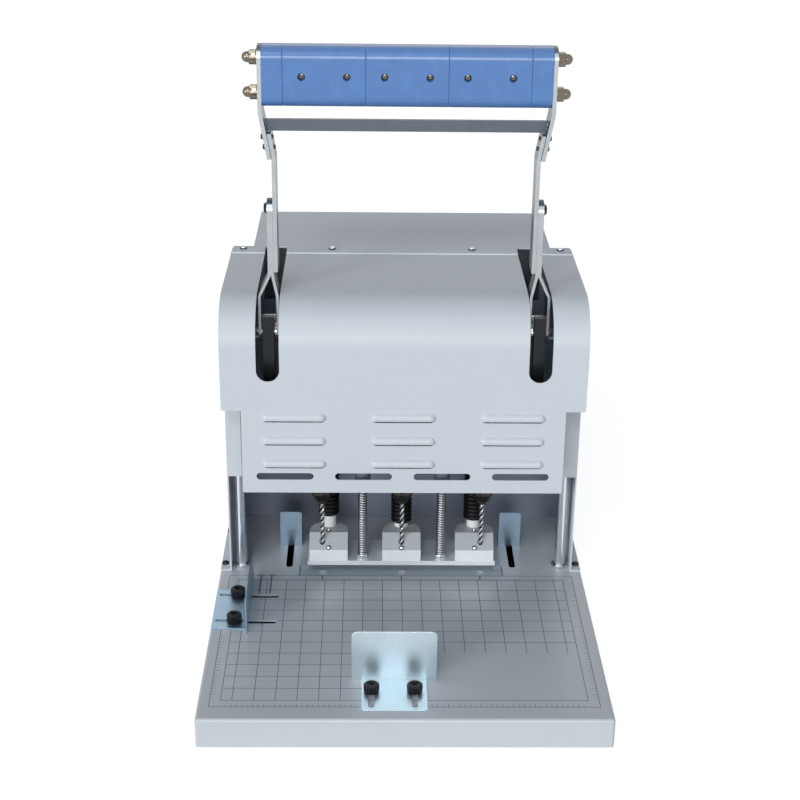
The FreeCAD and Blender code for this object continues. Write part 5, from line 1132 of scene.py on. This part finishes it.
def screw_places(node):
    """Seat, facing and span of each screw in a CAD node."""
    places = []
    for low, high, points in islands(node):
        extent = high - low
        gaps = [abs(extent[(i + 1) % 3] - extent[(i + 2) % 3]) for i in range(3)]
        axis = gaps.index(min(gaps))
        across = [(axis + 1) % 3, (axis + 2) % 3]
        middle = (low + high) / 2
        radius = extent[across[0]] / 2
        wide = [
            p[axis]
            for p in points
            if sum((p[i] - middle[i]) ** 2 for i in across) > (0.93 * radius) ** 2
        ]
        seat_low = abs(min(wide) - low[axis]) < 0.1 * MM
        seat_high = abs(max(wide) - high[axis]) < 0.1 * MM
        facing = Vector((0, 0, 0))
        facing[axis] = -1.0 if seat_low and not seat_high else 1.0
        seat = middle.copy()
        seat[axis] = max(wide) if facing[axis] < 0 else min(wide)
        top = low[axis] if facing[axis] < 0 else high[axis]
        rise = min(radius, abs(top - seat[axis]) / HEAD_RISE)
        places.append((seat, facing, (radius, radius, rise)))
    return places


def layers(places, *patterns):
    """Copies of patterns laid one on another, each a mesh with its own material."""
    found = []
    for pattern, material in patterns:
        mesh = stamped(pattern, places, material)
        smooth(mesh, 30)
        found.append((mesh, material))
    return found


def fasteners(node, *found):
    """One piece from the layers that stand for a CAD node of fasteners."""
    piece(node + "_finish", assembled(*found), None, BODY_OF[node], node)


def frame_screws():
    """Black screws in the frame, and pale ones in the die plate, low enough for the presser."""
    die_low, die_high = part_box("die_plate")
    black = []
    pale = []
    for seat, facing, span in screw_places("frame_screws"):
        if die_low.x < seat.x < die_high.x and die_low.y < seat.y < die_high.y:
            pale.append((seat, facing, (span[0], span[1], LOW_HEAD * span[2])))
        else:
            black.append((seat, facing, span))
    fasteners(
        "frame_screws",
        *layers(black, (screw_pattern(), black_steel)),
        *layers(pale, (screw_pattern(), light_paint)),
    )


def cover_screws():
    """Bright screws on dark washers along the joint of the covers: the bright heads are a painted
    highlight on dark domed screws.
    """
    places = screw_places("cover_screws")
    # The bright head is a painted highlight in the middle of the dark screw.
    highlight_head = (screw_pattern(0.72, 0.2), zinc_lug)
    fasteners("cover_screws", *layers(places, (washer_pattern(), black_steel), highlight_head))


def grip_screws():
    """Dark screws sunk in the wells of the grip."""
    sunk = Vector((0, 0.4 * MM, 0))
    places = [
        (seat + sunk, Vector((0, -1, 0)), span) for seat, _, span in screw_places("grip_screws")
    ]
    fasteners("grip_screws", *layers(places, (screw_pattern(), cap_steel)))


def presser_fasteners():
    """The nuts at the feet of the rods, and the hoods' screws: a bright head on a dark washer, a
    painted reflection that stands for the bright middle and dark rim of a domed chrome head.
    """
    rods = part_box("presser_rods")
    rod_reach = rods[1].x
    middle_y = (rods[0].y + rods[1].y) / 2
    nuts = []
    flat_screws = []
    slope = Vector((0, -1, 1)).normalized()
    for low, high, points in islands("presser_fasteners"):
        middle = (low + high) / 2
        extent = high - low
        radius = extent.x / 2
        if abs(middle.y - middle_y) < 1 * MM and 30 * MM < abs(middle.x) < rod_reach:
            height = extent.z / NUT_RISE
            nuts.append(((middle.x, middle.y, low.z), (0, 0, 1), (radius, radius, height)))
            continue
        level = extent.z < extent.x * 0.95 and abs(extent.x - extent.y) < 0.1 * MM
        facing = Vector((0, 0, 1)) if level else slope
        face = max(point.dot(facing) for point in points)
        seat = middle + facing * (face - middle.dot(facing) - HEAD_SUNK * radius)
        flat_screws.append((seat, facing, (radius, radius, radius)))
    # Bright heads on dark washers: painted reflection of domed chrome heads.
    fasteners(
        "presser_fasteners",
        *layers(
            flat_screws, (washer_pattern(), black_steel), (screw_pattern(0.74, 0.1), bright_steel)
        ),
        *layers(nuts, (nut_pattern(), zinc_lug)),
    )


def acorn_nuts():
    """Flanged cap nuts on the ends of the grip's tie rods."""
    works = []
    for low, high, _ in islands("acorn_nuts"):
        middle = (low + high) / 2
        side = 1 if middle.x > 0 else -1
        face = low.x if side > 0 else high.x
        length = high.x - low.x
        flange = (high.z - low.z) / 2
        shoulder = length - CAP_DOME
        rows = [
            (1.0 * MM, CAP_BORE),
            (0.0, CAP_BORE),
            (0.0, flange),
            (1.1 * MM, flange),
            (1.5 * MM, flange - 0.5 * MM),
            (1.6 * MM, hexagon_reach(CAP_FLATS)),
            (7.4 * MM, hexagon_reach(CAP_FLATS)),
            (8.2 * MM, 6.2 * MM),
            (8.6 * MM, CAP_DOME),
            (shoulder, CAP_DOME),
        ]
        for step in range(1, 7):
            angle = step * math.pi / 14
            rows.append((shoulder + CAP_DOME * math.sin(angle), CAP_DOME * math.cos(angle)))
        work = turned(rows, 72)
        turn = Matrix.Rotation(side * math.pi / 2, 4, "Y")
        shift = Matrix.Translation((face, middle.y, middle.z))
        bmesh.ops.transform(work, matrix=shift @ turn, verts=work.verts)
        works.append(work)
    mesh = finished(joined(works), 30)
    piece("acorn_nuts_finish", mesh, cap_steel, BODY_OF["acorn_nuts"], "acorn_nuts")


# Pieces that keep the frame's form

SPECIAL_MATERIAL = {
    "racks": black_steel,
    "carriage_beam": dark_paint,
    "column_nuts": zinc_lug,
    "spindle_housings": chuck_steel,
    "die_plate": die_paint,
    "presser_plate": plate_zinc,
    "presser_rods": spring_steel,
    "side_guide_bracket": dull_zinc,
    "back_stop_left": dull_zinc,
    "back_stop_right": dull_zinc,
}
EDGE_OF = {
    "presser_plate": 0.5 * MM,
    "grip_segments": GRIP_EDGE,
    "grip_end_caps": GRIP_EDGE,
    "drive_belt": 0,
    "front_cover": 0.25 * MM,
    "rear_cover": 0.25 * MM,
    "rubber_feet": BLOCK_EDGE,
    "drive_motor": BLOCK_EDGE,
    "vacuum_motor": BLOCK_EDGE,
    "suction_manifold": BLOCK_EDGE,
    "carriage_beam": BLOCK_EDGE,
}


def suction_hoods():
    """White hoods. Faces that tilt up take a darker grey with dust mottling: the grey is painted
    shade, the mottling dust. The eased folds keep the white, a painted highlight along them.
    """
    thing = dressed("suction_hoods", hood_plastic, HOOD_EDGE)
    paint_faces(
        thing, hood_dust_and_shade, lambda polygon: polygon.normal.z > 0.3 and polygon.normal.y > -0.95
    )
    # The eased folds keep the white hood plastic: a painted highlight along the ridges.
    thing.modifiers["ease"].material = 0


def handle_flats():
    """The flat bars of the lever: rolled sides, brighter sheared edges, and dark steel on the edges
    below FORK_SHADE as painted shade inside the cover.
    """
    for node in ("lever_forks", "handle_arms", "handle_yoke"):
        thing = dressed(node, arm_steel, BLOCK_EDGE)
        # Edges take the bright steel only above FORK_SHADE; below it they keep the dark arm steel as
        # painted shade.
        number = paint_faces(
            thing,
            edge_steel,
            lambda polygon: (
                abs(polygon.normal.y) > 0.8
                and abs(polygon.center.x) > BAR_HALF
                and polygon.center.z > FORK_SHADE
            ),
        )
        thing.modifiers["ease"].material = number


suction_hoods()
handle_flats()
base_print()
ruler_ticks()
presser_springs()
suction_hoses()
twist_drills()
chucks()
knurled_knobs()
frame_screws()
cover_screws()
grip_screws()
presser_fasteners()
acorn_nuts()
for node in sorted(frame["nodes"]):
    if node not in REPLACED:
        dressed(node, SPECIAL_MATERIAL.get(node), EDGE_OF.get(node, SHEET_EDGE))


# Stage, light and camera

SKY_FILL = (0.175, 0.185, 0.202, 1.0)
FLOOR_GLOW = 0.86
SHADOWED_FLOOR = 0.45
LIT_FLOOR = 0.8
FLOOR_REACH = 6.0
CARD_INSET = 12 * MM
CARD_LIFT = 0.5 * MM


def light_path_mask(tree):
    """1 for what the camera, a mirror or clear plastic sees."""
    path = tree.nodes.new("ShaderNodeLightPath")
    seen = maths(tree, "ADD", path.outputs["Is Camera Ray"], path.outputs["Is Glossy Ray"])
    return maths(tree, "ADD", seen, path.outputs["Is Transmission Ray"], True)


def flat_card(name, half_x, half_y, height, material):
    """A staged rectangle that faces up, round the middle of the scene."""
    corners = [
        (half_x * x, half_y * y, height) for x, y in ((-1, -1), (1, -1), (1, 1), (-1, 1))
    ]
    mesh = bpy.data.meshes.new(name)
    mesh.from_pydata(corners, [], [(0, 1, 2, 3)])
    mesh.materials.append(material)
    linked(name, mesh)


def floor():
    """A floor that looks white, yet shows the object's shadow and lights it as pale paper."""
    material, tree = new_material("floor")
    tree.nodes.clear()

    def matte(grey):
        node = tree.nodes.new("ShaderNodeBsdfDiffuse")
        node.inputs["Color"].default_value = (grey, grey, grey, 1)
        return node.outputs[0]

    glow = tree.nodes.new("ShaderNodeEmission")
    glow.inputs["Strength"].default_value = FLOOR_GLOW
    both = tree.nodes.new("ShaderNodeAddShader")
    choose = tree.nodes.new("ShaderNodeMixShader")
    out = tree.nodes.new("ShaderNodeOutputMaterial")
    feed(tree, glow.outputs[0], both.inputs[0])
    feed(tree, matte(SHADOWED_FLOOR), both.inputs[1])
    feed(tree, light_path_mask(tree), choose.inputs[0])
    feed(tree, matte(LIT_FLOOR), choose.inputs[1])
    feed(tree, both.outputs[0], choose.inputs[2])
    feed(tree, choose.outputs[0], out.inputs["Surface"])
    flat_card("floor", FLOOR_REACH, FLOOR_REACH, 0, material)


def shade_under_base():
    """A matt black card on the floor under the base: painted shade where no lamp reaches."""
    material, tree = new_material("shade_card")
    principled = tree.nodes["Principled BSDF"]
    principled.inputs["Base Color"].default_value = (0.01, 0.01, 0.012, 1)
    principled.inputs["Roughness"].default_value = 0.9
    high = CAD_BOX[1]
    flat_card("shade_card", high[0] - CARD_INSET, high[1] - CARD_INSET, CARD_LIFT, material)


def sky():
    world = bpy.data.worlds.new("sky")
    bpy.context.scene.world = world
    world.use_nodes = True
    tree = world.node_tree
    back = tree.nodes["Background"]
    seen = mixed(tree, light_path_mask(tree), SKY_FILL, WHITE)
    feed(tree, seen, back.inputs["Color"])


def lamp(name, way, strength, softness):
    """A broad lamp far off, in the direction way from the object."""
    data = bpy.data.lights.new(name, "SUN")
    data.energy = strength * math.pi
    data.angle = math.radians(softness)
    thing = linked(name, data)
    toward = Vector(way).normalized()
    thing.rotation_mode = "QUATERNION"
    thing.rotation_quaternion = toward.to_track_quat("Z", "Y")
    thing.location = toward * 3


def camera():
    """The photograph's viewpoint, fitted to the grid and the outline of the base."""
    place = Vector((-0.03288, -1.48434, 0.87729))
    yaw = 0.0200538
    pitch = 0.4119761
    roll = 0.0128220
    ahead = Vector(
        (math.sin(yaw) * math.cos(pitch), math.cos(yaw) * math.cos(pitch), -math.sin(pitch))
    )
    level = Vector((math.cos(yaw), -math.sin(yaw), 0))
    up = level.cross(ahead)
    right = level * math.cos(roll) + up * math.sin(roll)
    top = up * math.cos(roll) - level * math.sin(roll)
    data = bpy.data.cameras.new("camera")
    data.sensor_width = 36
    data.lens = 71.366
    data.clip_start = 0.05
    data.clip_end = 50
    thing = linked("camera", data)
    turn = Matrix((right, top, -ahead)).transposed().to_4x4()
    thing.matrix_world = Matrix.Translation(place) @ turn
    bpy.context.scene.camera = thing


floor()
shade_under_base()
sky()
lamp("key", (-0.66, -0.73, 0.2), 0.42, 24)
lamp("front", (0.0, -0.98, 0.18), 0.26, 20)
lamp("top", (-0.2, -0.68, 0.7), 0.15, 14)
camera()
bpy.context.scene.view_settings.view_transform = "Standard"
